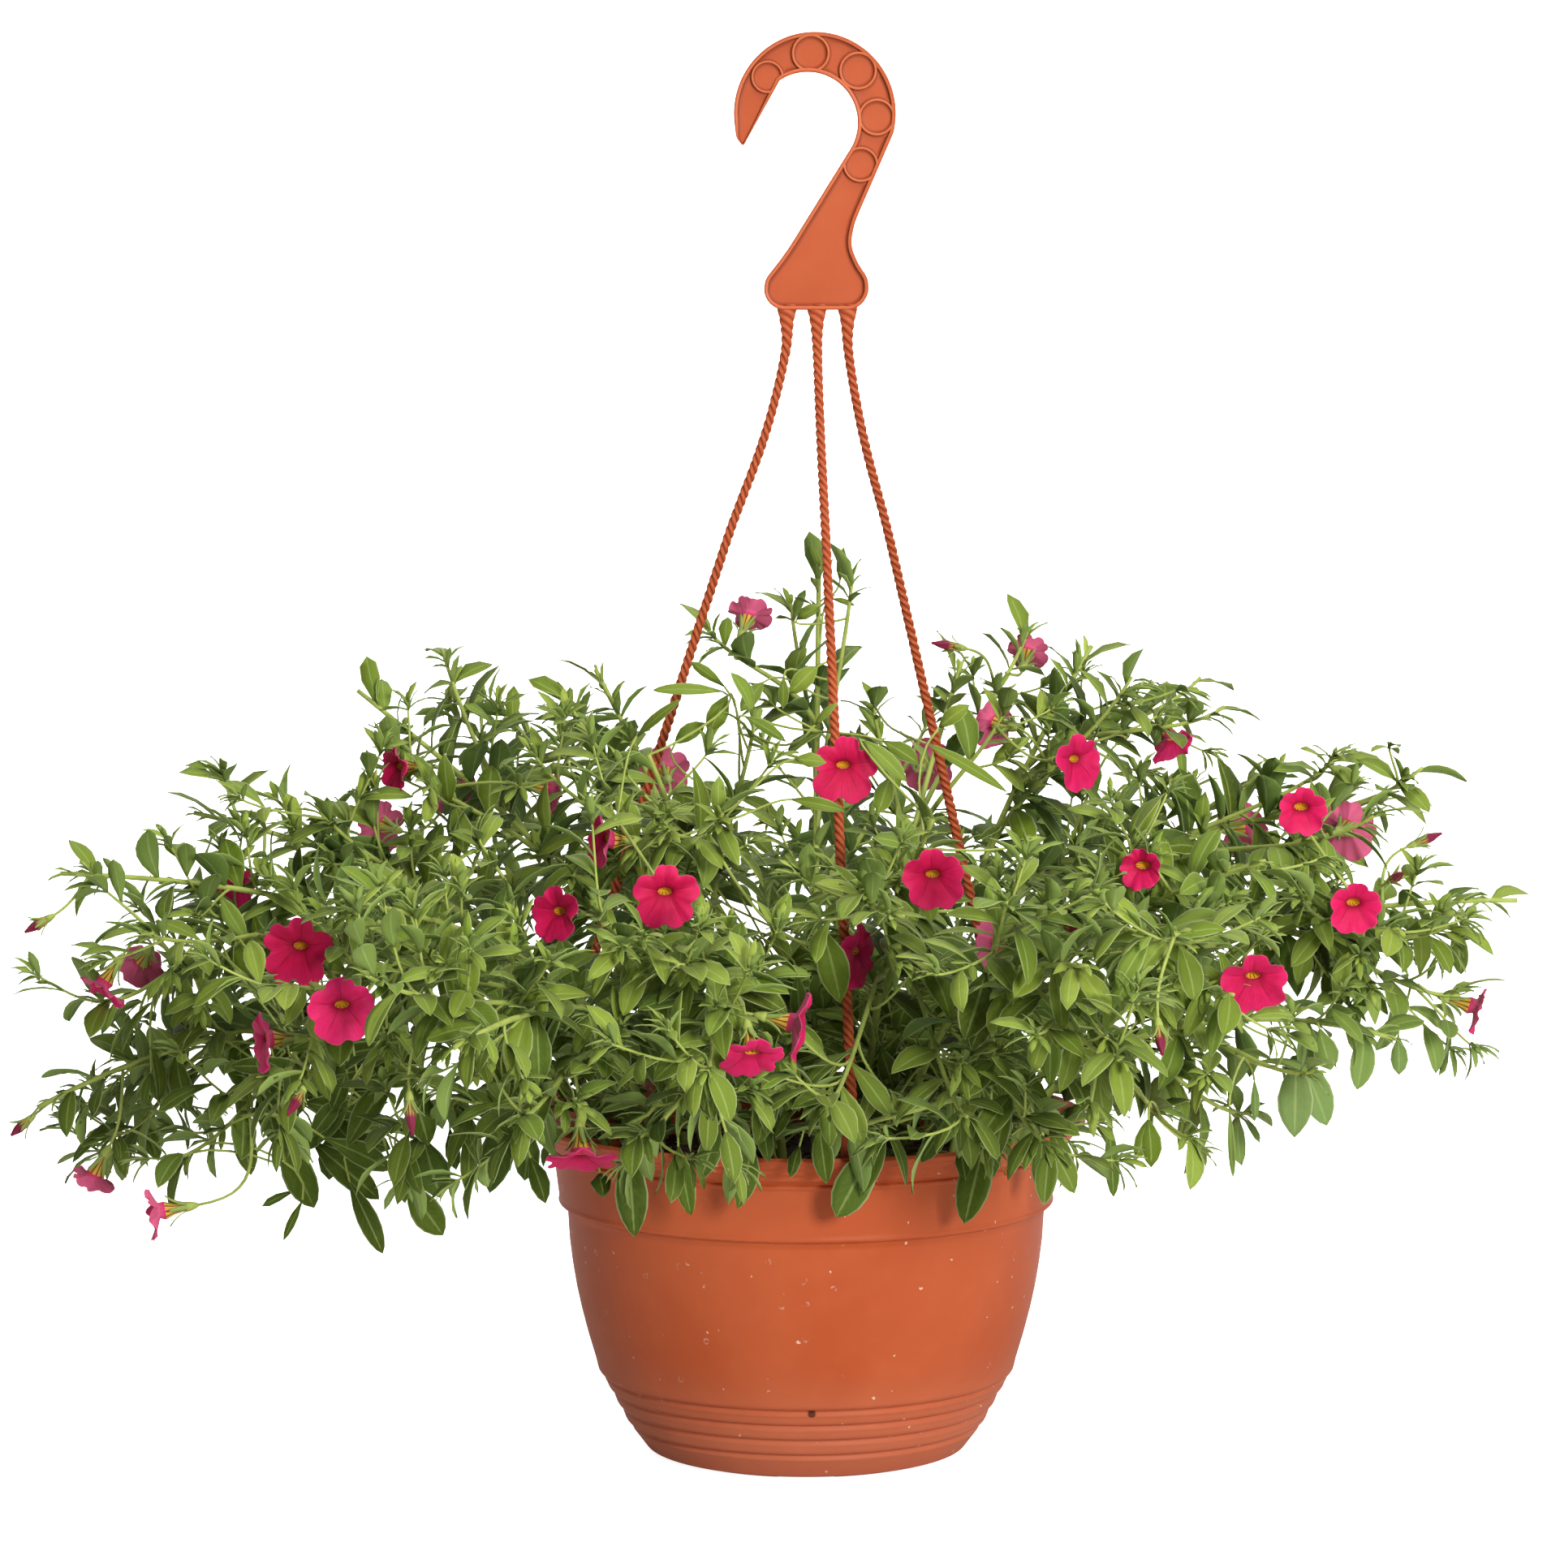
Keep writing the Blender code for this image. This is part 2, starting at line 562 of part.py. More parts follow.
def frame_of(origin, direction):
    """Matrix with local +Z along direction."""
    return Matrix.Translation(origin) @ direction.to_track_quat("Z", "Y").to_matrix().to_4x4()


def bloom_shape(radius, extra=0.0):
    """Five fused petals round a throat, on a narrow tube; local +Z out of the face, the seat at 0."""
    thick = 0.75 + 2 * extra
    face = TUBE_LENGTH
    points = [(0, 0, face - 7.0)]
    throat = [(2 * math.pi * i / 5, 3.0 + extra, face - 1.6) for i in range(5)]
    rim = []
    for i in range(5):
        middle = 2 * math.pi * i / 5
        rim += [(middle - math.radians(36), (radius + extra) * 0.84, face + 0.9)]
        rim += [(middle - math.radians(15), radius + extra, face + 0.1)]
        rim += [(middle + math.radians(15), radius + extra, face + 0.1)]
    back = [(a, 4.0 + extra, face - 2.6 - extra) for a, r, z in throat]
    seat = [(a, 1.3 + extra, -extra) for a, r, z in throat]
    under = [(a, r, z - thick) for a, r, z in rim]
    for ring in (throat, rim, under, back, seat):
        points += [(r * math.cos(a), r * math.sin(a), z) for a, r, z in ring]
    t, r, u, b, s = 1, 6, 21, 36, 41
    faces = [(s, s + 2, s + 1), (s, s + 3, s + 2), (s, s + 4, s + 3)]
    for i in range(5):
        j = (i + 1) % 5
        faces += [(0, t + i, t + j)]
        for inner, outer, flip in ((t, r, False), (b, u, True)):
            first, second, third, following = (outer + (3 * i + k) % 15 for k in (1, 2, 3, 4))
            fan = [(inner + i, first, second), (inner + i, second, third), (inner + i, third, inner + j),
                   (inner + j, third, following)]
            faces += [tuple(reversed(f)) for f in fan] if flip else fan
        faces += [(b + i, s + i, s + j), (b + i, s + j, b + j)]
    for i in range(15):
        j = (i + 1) % 15
        faces += [(r + i, u + i, u + j), (r + i, u + j, r + j)]
    return points, faces


def calyx_shape():
    """A small cup with five pointed sepals, in which the flower's tube stands; local 0 is the tube's seat.

    Its stalk end is left open: the last three points."""
    points = [(0, 0, -3.0)]
    for i in range(5):
        a = 2 * math.pi * i / 5
        b = a + math.pi / 5
        points += [(5.2 * math.cos(a), 5.2 * math.sin(a), 6.5), (2.7 * math.cos(b), 2.7 * math.sin(b), 0.5)]
    angles = [2 * math.pi * i / 3 for i in range(3)]
    points += [(STALK_R * math.cos(a), STALK_R * math.sin(a), -CALYX_DEPTH) for a in angles]
    faces = []
    for i in range(10):
        faces.append((0, 1 + i, 1 + (i + 1) % 10))
    spread = [0, 0, 0, 0, 1, 1, 1, 2, 2, 2]
    for i in range(10):
        here, following = 11 + spread[i], 11 + spread[(i + 1) % 10]
        faces.append((1 + i, here, 1 + (i + 1) % 10))
        if here != following:
            faces.append((here, following, 1 + (i + 1) % 10))
    return points, faces


def bud_shape(length):
    """A folded flower: a slim three-sided spindle. Its stalk end is left open: the last three points."""
    points = []
    for r, z in ((1.3, 0.92 * length), (2.1, 0.45 * length), (STALK_R, -1.0)):
        points += [(r * math.cos(2 * math.pi * i / 3), r * math.sin(2 * math.pi * i / 3), z) for i in range(3)]
    faces = [(0, 1, 2)]
    for k in (0, 3):
        for i in range(3):
            j = (i + 1) % 3
            faces += [(k + i, k + 3 + i, k + 3 + j), (k + i, k + 3 + j, k + j)]
    return points, faces


def moved(place, points):
    return [place @ Vector(p) for p in points]


def stalk_route(start, direction, target):
    """A flower stalk: straight back from the calyx, then one bend down to its shoot."""
    elbow = start - direction * 0.36 * (target - start).length
    return [start, elbow, target]


def stalk_sites(start, direction, shoots):
    """Places on the shoots, the nearest first, that a flower stalk may grow from."""
    sites = []
    for name, group in shoots.items():
        for owner, route, radius in group:
            for share in (0.45, 0.6, 0.7, 0.8, 0.88, 0.96):
                place, along = at(route, share)
                away = (start - place).length
                turn = direction.dot((start - place).normalized())
                if 9 < away < 75:
                    sites.append((away * (1.5 - 0.5 * turn), name, owner, place))
    return sorted(sites, key=lambda site: site[0])


def stalk_to_shoot(thicket, base, direction, shoots):
    """The first clear stalk from base to a shoot: its stem's name and route."""
    for cost, name, owner, place in stalk_sites(base, direction, shoots)[:24]:
        route = stalk_route(base, direction, place)
        bend = (route[1] - route[0]).angle(route[2] - route[1])
        if bend < STALK_BEND and thicket.free(*tube(route, STALK_R + 0.55, 6), passing=(owner,)):
            return name, route
    return None


def place_blooms(thicket, shoots, grown):
    """Each bloom is its own object; its calyx and stalk go to the stem that carries it."""
    for index, (x, y, z, azimuth, tilt, radius) in enumerate(BLOOMS, 1):
        direction = facing(azimuth, tilt)
        fat, faces = bloom_shape(radius, 0.45)
        for move in sidesteps():
            seat = Vector((x, y, z)) - direction * TUBE_LENGTH + move
            place = frame_of(seat, direction)
            cup, cup_faces = calyx_shape()
            if not thicket.free(moved(place, fat), faces) or not thicket.free(moved(place, cup), cup_faces):
                continue
            base = seat - direction * CALYX_DEPTH
            found = stalk_to_shoot(thicket, base, direction, shoots)
            if found:
                break
        else:
            print("no place for bloom", index)
            continue
        name, route = found
        points, faces = bloom_shape(radius)
        thicket.add("bloom", moved(place, points), faces)
        make_object(f"bloom_{index:02d}", moved(place, points), faces, PETAL_PINK)
        stalked = with_stalk(moved(place, cup), cup_faces, (11, 12, 13), route)
        thicket.add(name + "/flower", *stalked)
        grown[name].append(stalked)


def place_buds(thicket, shoots, grown):
    for x, y, z, azimuth, tilt, length in BUDS:
        direction = facing(azimuth, tilt)
        points, faces = bud_shape(length)
        for move in sidesteps():
            place = frame_of(Vector((x, y, z)) + move, direction)
            found = stalk_to_shoot(thicket, place @ Vector((0, 0, -1.0)), direction, shoots)
            if found and thicket.free(moved(place, points), faces):
                break
        else:
            print("no place for a bud at", x, y, z)
            continue
        name, route = found
        stalked = with_stalk(moved(place, points), faces, (6, 7, 8), route)
        thicket.add(name + "/flower", *stalked)
        grown[name].append(stalked)


def leaf_blade(root, direction, normal, length, width, rows, extra=0.0):
    """A thin arched blade from its root, split into triangles alike on both faces.

    rows are (share of the length, share of the width); the pointed root and tip are added."""
    side = direction.cross(normal).normalized()
    top = []
    for t, w in [(0.0, 0.0)] + rows + [(1.0, 0.0)]:
        rise = normal * length * (0.16 * t - 0.34 * t * t)
        middle = root + direction * (length + extra) * t * (1 - 0.06 * t) + rise
        half = side * (w * width / 2 + extra)
        top += [middle] if w == 0 else [middle - half, middle + half]
    lift = normal * (BLADE_THICK / 2 + extra)
    count = len(top)
    points = [p + lift for p in top] + [p - lift for p in top]
    faces = [(0, 2, 1)]
    for k in range(1, count - 3, 2):
        faces.append((k, k + 1, k + 3, k + 2))
    faces.append((count - 3, count - 2, count - 1))
    faces += [tuple(count + i for i in reversed(face)) for face in faces]
    edge = [0] + list(range(1, count - 1, 2)) + [count - 1] + list(range(count - 2, 1, -2))
    for a, b in zip(edge, edge[1:] + edge[:1]):
        faces.append((a, b, b + count, a + count))
    return points, faces


def leaf_site(stem, shoot, k, share, route):
    """Where a leaf grows and how: root, growing direction of its shoot, turn about it and a seeded draw."""
    draw = random.Random(stem * 10000 + shoot * 100 + k)
    root, along = at(route, share)
    turn = math.radians(137.5 * k + 50 * shoot + 31 * stem)
    return root, along, turn, draw


def leaf_pose(along, turn, spread, roll):
    """Direction and upper side of a blade that leaves a shoot at that angle."""
    first = along.orthogonal().normalized()
    second = along.cross(first)
    out = first * math.cos(turn) + second * math.sin(turn)
    direction = (along * math.cos(spread) + out * math.sin(spread)).normalized()
    up = Vector((0, 0, 1)) + along * 0.3
    normal = up - direction * up.dot(direction)
    if normal.length < 0.2:
        normal = -out
    normal = Matrix.Rotation(roll, 3, direction) @ normal.normalized()
    return direction, (normal - direction * normal.dot(direction)).normalized()


def place_leaves(thicket, shoots, grown):
    """Leaves in turns of 137.5 degrees up each shoot, each turned or shortened until it is clear."""
    placed = 0
    for stem, (name, spot, tips) in enumerate(STEMS):
        for shoot, (owner, route, radius) in enumerate(shoots[name]):
            count = MAIN_LEAVES if shoot == 0 else SIDE_LEAVES
            lowest = 0.46 if shoot == 0 else 0.3
            for k in range(count):
                share = lowest + (0.96 - lowest) * k / (count - 1)
                root, along, turn, draw = leaf_site(stem, shoot, k, share, route)
                age = (1 - share) / (1 - lowest)
                length = LEAF_SMALL[0] + (LEAF_BIG[0] - LEAF_SMALL[0]) * age * draw.uniform(0.75, 1.1)
                width = LEAF_SMALL[1] + (LEAF_BIG[1] - LEAF_SMALL[1]) * age * draw.uniform(0.8, 1.1)
                spread = math.radians(32 + 34 * age + draw.uniform(-8, 8))
                roll = math.radians(draw.uniform(-25, 25))
                rows = LONG_ROWS if age > 0.6 else SHORT_ROWS
                for step in (0, 40, -40, 80, -80, 125, -125, 180):
                    direction, normal = leaf_pose(along, turn + math.radians(step), spread, roll)
                    fat, faces = leaf_blade(root, direction, normal, length, width, rows, LEAF_CLEAR)
                    if thicket.free(fat, faces, passing=(owner, name + "/root")):
                        break
                else:
                    continue
                points, faces = leaf_blade(root, direction, normal, length, width, rows)
                far = root + direction * 0.25 * length
                thicket.add(name + "/root", points, faces)
                thicket.add(name + "/leaf", *leaf_blade(far, direction, normal, 0.75 * length, width, rows))
                grown[name].append((points, faces))
                placed += 1
    print("leaves placed:", placed)


def join_stems(shoots, grown):
    """One solid for each leafy stem, by one union on its leaves, stalks and side shoots."""
    for name, group in shoots.items():
        owner, route, radius = group[0]
        stem = make_object(name, *tube(route, radius, STEM_SIDES), LEAF_GREEN)
        parts = [make_object("shoot", *tube(way, thick, SIDE_SIDES), LEAF_GREEN) for own, way, thick in group[1:]]
        parts += [make_object("leaf", points, faces, LEAF_GREEN) for points, faces in grown[name]]
        boolean(stem, parts, "UNION")


def obstacles(thicket):
    """The made pieces that the plant grows clear of."""
    for name in ("pot", "hanger"):
        mesh = bpy.data.objects[name].data
        points = [v.co / MM for v in mesh.vertices]
        thicket.add(name, points, [tuple(p.vertices) for p in mesh.polygons])


make_pot()
make_hanger()
made_thicket = Thicket()
obstacles(made_thicket)
all_shoots = grow_shoots(made_thicket)
grown_parts = {stem_name: [] for stem_name in all_shoots}
place_blooms(made_thicket, all_shoots, grown_parts)
place_buds(made_thicket, all_shoots, grown_parts)
place_leaves(made_thicket, all_shoots, grown_parts)
join_stems(all_shoots, grown_parts)
make_soil(all_shoots)
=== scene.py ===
# %% [markdown]
# # A hanging basket of calibrachoa
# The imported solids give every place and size: a pot, its hook hanger, the soil, leafy stems and open flowers.
# This script keeps those places and makes the surfaces that the eye sees: satin moulded plastic, soft leaves with
# pale ribs, petals with dark veins, crumbly peat and a quiet studio light.
# Lengths are written in millimetres, because that is how pots and flowers are measured, and MM turns them to metres.

import json
import math
import random
from functools import partial

import bmesh
import bpy
import numpy as np
from mathutils import Matrix, Vector
from mathutils.bvhtree import BVHTree

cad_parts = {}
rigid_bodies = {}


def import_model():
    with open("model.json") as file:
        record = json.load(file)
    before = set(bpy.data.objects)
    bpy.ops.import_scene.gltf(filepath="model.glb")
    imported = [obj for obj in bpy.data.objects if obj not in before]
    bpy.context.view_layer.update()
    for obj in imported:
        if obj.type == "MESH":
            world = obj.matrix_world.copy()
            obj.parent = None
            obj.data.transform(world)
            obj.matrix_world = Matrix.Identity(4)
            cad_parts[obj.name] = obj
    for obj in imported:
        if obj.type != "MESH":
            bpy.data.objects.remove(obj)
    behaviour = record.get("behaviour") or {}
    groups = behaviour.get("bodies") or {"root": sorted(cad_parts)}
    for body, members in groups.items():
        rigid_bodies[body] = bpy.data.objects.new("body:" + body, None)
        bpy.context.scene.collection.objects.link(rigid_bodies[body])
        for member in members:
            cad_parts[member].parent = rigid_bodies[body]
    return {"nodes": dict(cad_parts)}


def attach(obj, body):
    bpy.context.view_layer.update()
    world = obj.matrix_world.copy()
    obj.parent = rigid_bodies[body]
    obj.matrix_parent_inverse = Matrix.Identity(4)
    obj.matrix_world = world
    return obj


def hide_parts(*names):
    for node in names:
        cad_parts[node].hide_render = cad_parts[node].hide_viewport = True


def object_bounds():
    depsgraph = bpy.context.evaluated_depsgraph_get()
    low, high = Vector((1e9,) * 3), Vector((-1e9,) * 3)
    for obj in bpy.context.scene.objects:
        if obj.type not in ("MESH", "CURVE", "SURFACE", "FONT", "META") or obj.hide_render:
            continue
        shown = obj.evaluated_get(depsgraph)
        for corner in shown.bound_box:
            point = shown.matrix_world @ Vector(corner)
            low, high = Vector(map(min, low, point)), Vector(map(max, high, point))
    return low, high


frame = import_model()
nodes = frame["nodes"]
cad_box = [list(corner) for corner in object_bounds()]
MM = 0.001
print("solids in the frame:", len(nodes))

# %% [markdown]
# ## The camera
# The photograph was taken from a little above the rim with a long lens, so near and far leaves look almost alike in
# size. A 119 mm lens 2.3 m from the pot gives the same small amount of perspective. The pot stands a little right of
# the picture's middle, which a slight lens shift gives without turning the camera.

# %% Camera
CAMERA_AWAY = 2294.7
CAMERA_HIGH = 514.7
CAMERA_DOWN = math.radians(5.4)
LENS = 119.25
SHIFT = -40 / 1932
camera_data = bpy.data.cameras.new("camera")
camera_data.lens = LENS
camera_data.sensor_width = 36.0
camera_data.sensor_fit = "AUTO"
camera_data.shift_x = SHIFT
camera = bpy.data.objects.new("camera", camera_data)
bpy.context.scene.collection.objects.link(camera)
camera.location = (0, -CAMERA_AWAY * MM, CAMERA_HIGH * MM)
camera.rotation_euler = (math.pi / 2 - CAMERA_DOWN, 0, 0)
bpy.context.scene.camera = camera
print("camera at", tuple(round(c, 3) for c in camera.location))

# %% [markdown]
# ## Colours and shader nodes
# Screen colours are stored with a curve, and a renderer works with light as it adds up, so each hex colour is
# turned to linear values once. One helper adds a shader node, sets it and links it. It gives back the node's first
# output, so one node can be written inside another, which keeps each material short enough to read as a recipe.

# %% Helpers for materials
COLOURS = {"data_type": "RGBA"}
SMOOTH = {"interpolation_type": "SMOOTHSTEP"}
PLUS, MINUS, TIMES, TIMES_PLUS, LARGER, SIZE, FRACTION = (
    {"operation": name} for name in ("ADD", "SUBTRACT", "MULTIPLY", "MULTIPLY_ADD", "MAXIMUM", "ABSOLUTE", "FRACT"))


def linear(code):
    """Linear red, green, blue and alpha of an sRGB hex colour."""
    parts = [int(code[i:i + 2], 16) / 255 for i in (0, 2, 4)]
    return [p / 12.92 if p <= 0.04045 else ((p + 0.055) / 1.055) ** 2.4 for p in parts] + [1.0]


def add_node(tree, kind, settings, *inputs):
    """Adds a shader node, or takes one that is there, sets and links it, and gives its first output.

    Settings name its properties or sockets, and inputs fill its first sockets. Each is a value, a hex colour or
    another node's output. A map range whose limits run from high to low falls instead of rising.
    """
    made = tree.nodes.new("ShaderNode" + kind) if isinstance(kind, str) else kind
    for name, given in settings.items():
        if name not in made.inputs:
            setattr(made, name, given)
    pairs = [(made.inputs[name], given) for name, given in settings.items() if name in made.inputs]
    pairs += zip([socket for socket in made.inputs if socket.enabled], inputs)
    for socket, given in pairs:
        if isinstance(given, bpy.types.NodeSocket):
            tree.links.new(given, socket)
        else:
            socket.default_value = linear(given) if isinstance(given, str) else given
    return next(socket for socket in made.outputs if socket.enabled)


def new_material(name):
    """A material, its shader and a function that adds nodes to it."""
    made = bpy.data.materials.new(name)
    made.use_nodes = True
    return made, made.node_tree.nodes["Principled BSDF"], partial(add_node, made.node_tree)


def marks(add, name="place"):
    """The three marks of that name that the points of a mesh carry."""
    return add("SeparateXYZ", {}, add("Attribute", {"attribute_name": name}).node.outputs["Vector"]).node.outputs


print("dark terracotta in linear light:", [round(c, 3) for c in linear("8F4526")])

# %% [markdown]
# ## Terracotta polypropylene
# The pot is injection-moulded polypropylene, coloured to look like clay. The plastic is satin: its highlights are
# broad and soft. Used pots carry pale scuffs and dried water specks a millimetre or so across, and a faint flow
# mottle from the mould, and the foot is painted paler, as painted light bounced up from the floor. Those are drawn
# from the surface's own position, so no picture is wrapped round the pot. Raised edges are painted paler as a painted
# highlight and grooves darker as painted shade, and the meshes say where those are. The hanger is the same plastic
# in a lighter batch, so one recipe makes both.

# %% Polypropylene for the pot and the hanger
FLOW = {"Scale": 9.0, "Detail": 3.0, "Distortion": 0.6}
SPECKS_A_METRE = 150.0
CURLS_A_METRE = 80.0
GATE = (0.0025, -0.0905, 0.0335)


def moulded_plastic(name, colour, shade, light, roughness, scuffs):
    """Satin moulded polypropylene: slow colour flow, a grain too fine to feel, and pale scuffs."""
    made, shader, add = new_material(name)
    place = add("TexCoord", {}).node.outputs["Object"]
    flow = add("TexNoise", FLOW, place)
    cloud = add("TexNoise", {"Scale": 60.0, "Detail": 4.0}, place)
    base = add("Mix", COLOURS, add("MapRange", SMOOTH, flow, 0.35, 0.7), colour, shade)
    base = add("Mix", COLOURS, add("MapRange", SMOOTH, cloud, 0.45, 0.75, 0.0, 0.25), base, light)

    wander = add("TexNoise", {"Scale": 450.0, "Detail": 2.0}, place)
    bent = add("Mix", {**COLOURS, "blend_type": "ADD"}, 0.0035, place, wander.node.outputs["Color"])
    speck = add("TexVoronoi", {"Scale": SPECKS_A_METRE}, bent)
    some = add("SeparateColor", {}, speck.node.outputs["Color"])
    speck = add("Math", TIMES, add("MapRange", SMOOTH, speck, 0.11, 0.07),
                add("MapRange", SMOOTH, some, 1.0 - scuffs, 1.02 - scuffs))
    curl = add("TexVoronoi", {"Scale": CURLS_A_METRE}, bent)
    some = add("SeparateColor", {}, curl.node.outputs["Color"]).node.outputs["Green"]
    ring = add("Math", SIZE, add("Math", MINUS, curl, 0.11))
    ring = add("Math", TIMES, add("MapRange", SMOOTH, ring, 0.03, 0.012), add("MapRange", SMOOTH, some, 0.66, 0.68))
    ring = add("Math", TIMES, ring, add("MapRange", SMOOTH, wander, 0.46, 0.56, 0.0, 0.42 if scuffs > 0.05 else 0.0))
    worn = add("Math", TIMES, add("Math", LARGER, speck, ring), add("MapRange", SMOOTH, flow, 0.32, 0.5))

    high = add("SeparateXYZ", {}, place).node.outputs["Z"]
    edge, painted_groove_shade = marks(add)[1:]
    # Painted light: the foot is painted paler towards the bottom, as light bounced up from the floor would make it.
    base = add("Mix", COLOURS, add("MapRange", SMOOTH, high, 0.06, 0.012, 0.0, 0.2), base, "E0A488")
    # Painted highlight on raised edges and painted shade in grooves, read from the marks that the meshes carry.
    base = add("Mix", COLOURS, add("Math", TIMES, edge, 0.35), base, "E58A5E")
    base = add("Mix", COLOURS, add("Math", TIMES, painted_groove_shade, 0.6), base, "6E2A10")
    base = add("Mix", COLOURS, add("Math", TIMES, worn, 0.8), base, "ECCDB8")
    gate = add("VectorMath", {"operation": "DISTANCE"}, place, GATE)
    base = add("Mix", COLOURS, add("MapRange", SMOOTH, gate, 0.0024, 0.0014), base, "5A2A12")

    rough = add("Math", TIMES_PLUS, worn, 0.2, add("Math", TIMES_PLUS, cloud, 0.14, roughness - 0.07))
    grain = add("Math", TIMES_PLUS, add("TexNoise", {"Scale": 1400.0, "Detail": 2.0}, place), 0.25, cloud)
    bump = add("Bump", {"Strength": 0.12, "Distance": 0.0006, "Height": grain})
    add(shader, {"IOR": 1.49, "Specular IOR Level": 0.17, "Base Color": base, "Roughness": rough, "Normal": bump})
    return made


POT_PLASTIC = moulded_plastic("terracotta_polypropylene", "C05C35", "B8532C", "CA663A", 0.48, 0.42)
HANGER_PLASTIC = moulded_plastic("light_terracotta_polypropylene", "B85631", "AF4F2B", "C16139", 0.44, 0.03)
print("plastics:", POT_PLASTIC.name, HANGER_PLASTIC.name)

# %% [markdown]
# ## Leaf, stem and hair
# A calibrachoa leaf is matt and soft with short hairs, so it has almost no gloss and a faint pale sheen where it
# turns away from the eye. Its middle rib and its rim are paler than its face, its underside is greyer, and the young
# leaves at a shoot's tip are yellow-green. Low down, the leaves are painted darker as painted shade, and at the far
# right paler as painted light shining through them from behind. Every leaf point carries marks for the rest: how far
# along and across the blade it lies, which side it is on, how young the leaf is and a number of its own. The material
# only reads them.

# %% Leaf, stem and hair


def leaf_blade_finish():
    """Soft hairy leaf: green by age, pale rib, veins and rim, grey-green underside."""
    made, shader, add = new_material("calibrachoa_leaf_blade")
    place = add("TexCoord", {}).node.outputs["Object"]
    along, across, side = marks(add)
    young, seed = marks(add, "life")[:2]
    patch = add("TexNoise", {"Scale": 260.0, "Detail": 3.0}, place)
    other = add("Math", FRACTION, add("Math", TIMES, seed, 7.0))
    old = add("Mix", COLOURS, seed, "404F0A", "657C1C")
    old = add("Mix", COLOURS, add("MapRange", SMOOTH, other, 0.55, 0.7, 0.0, 0.65), old, "59732C")
    face = add("Mix", COLOURS, young, old, add("Mix", COLOURS, seed, "8CA63A", "B0C052"))
    face = add("Mix", COLOURS, add("MapRange", SMOOTH, patch, 0.4, 0.75, 0.0, 0.3), face, "72862F")

    spot = add("SeparateXYZ", {}, place).node.outputs
    # Painted shade and painted light: low down, leaves are painted darker, except at the far right, where they are
    # painted paler as if lit through from behind.
    low = add("MapRange", SMOOTH, spot["Z"], 0.235, 0.15)
    painted_shade_low = add("Math", TIMES, low, add("MapRange", SMOOTH, spot["X"], 0.17, 0.09, 0.0, 0.48))
    painted_backlight_low_right = add("Math", TIMES, low, add("MapRange", SMOOTH, spot["X"], 0.15, 0.22, 0.0, 0.5))
    face = add("Mix", COLOURS, painted_backlight_low_right, add("Mix", COLOURS, painted_shade_low, face, "33460C"), "90AC6C")

    reach = add("Math", SIZE, across)
    slant = add("Math", MINUS, add("Math", TIMES, along, 9.0), add("Math", TIMES, reach, 2.4))
    vein = add("Math", SIZE, add("Math", MINUS, add("Math", FRACTION, slant), 0.5))
    vein = add("Math", TIMES, add("MapRange", SMOOTH, vein, 0.09, 0.0), add("MapRange", SMOOTH, reach, 0.95, 0.4))
    rib = add("MapRange", SMOOTH, reach, 0.13, 0.03)
    pale = add("Math", LARGER, add("Math", TIMES, rib, 0.36), add("Math", TIMES, vein, 0.1))
    face = add("Mix", COLOURS, pale, face, "AFC075")
    face = add("Mix", COLOURS, add("MapRange", SMOOTH, reach, 0.84, 1.0, 0.0, 0.6), face, "C0CA92")
    under = add("Mix", COLOURS, pale, add("Mix", COLOURS, young, "6A8440", "98AD5A"), "B5C488")
    final = add("Mix", COLOURS, add("Math", TIMES, side, 0.85), face, under)
    height = add("Math", MINUS, add("Math", TIMES, patch, 0.5), add("Math", PLUS, rib, vein))
    bump = add("Bump", {"Strength": 0.35, "Distance": 0.0004, "Height": height})
    add(shader, {"Roughness": 0.6, "IOR": 1.4, "Specular IOR Level": 0.2, "Sheen Weight": 0.06,
                 "Sheen Roughness": 0.5, "Sheen Tint": "DDE8C4", "Base Color": final, "Normal": bump})
    return made


def green_stem_finish():
    """Soft green shoot: paler and yellower towards its tip, with faint streaks along it."""
    made, shader, add = new_material("green_shoot")
    place = add("TexCoord", {}).node.outputs["Object"]
    streak = add("TexNoise", {"Scale": 180.0, "Detail": 3.0}, place)
    face = add("Mix", COLOURS, marks(add)[0], "98A650", "AEBB5C")
    face = add("Mix", COLOURS, add("MapRange", SMOOTH, streak, 0.4, 0.7, 0.0, 0.4), face, "7F8F42")
    bump = add("Bump", {"Strength": 0.25, "Distance": 0.0004, "Height": streak})
    add(shader, {"Roughness": 0.55, "IOR": 1.4, "Specular IOR Level": 0.3, "Sheen Weight": 0.15,
                 "Sheen Roughness": 0.4, "Sheen Tint": "E6EFC8", "Base Color": face, "Normal": bump})
    return made


def hair_finish():
    """Fine plant hairs: pale, half dry and dull."""
    made, shader, add = new_material("plant_hair")
    face = add("Mix", COLOURS, marks(add)[0], "B9CC85", "EAF0D2")
    add(shader, {"Roughness": 0.5, "IOR": 1.4, "Base Color": face})
    return made


LEAF = leaf_blade_finish()
SHOOT = green_stem_finish()
HAIR = hair_finish()
print("plant greens:", LEAF.name, SHOOT.name, HAIR.name)

# %% [markdown]
# ## Petals, flower tubes and folded buds
# The flower is one sheet of tissue: five petals fused into a face and a tube. The face is magenta with a velvet look,
# because its cells stand up like tiny cones, which a little sheen imitates. Dark crimson veins run out from the
# throat and fade before the edge. Inside, the throat is gold with a dark ring round it, and outside, the tube is
# yellow with brown-red stripes. A closed bud and a spent flower show the same stripes and a dark folded tip.

# %% Flower finishes


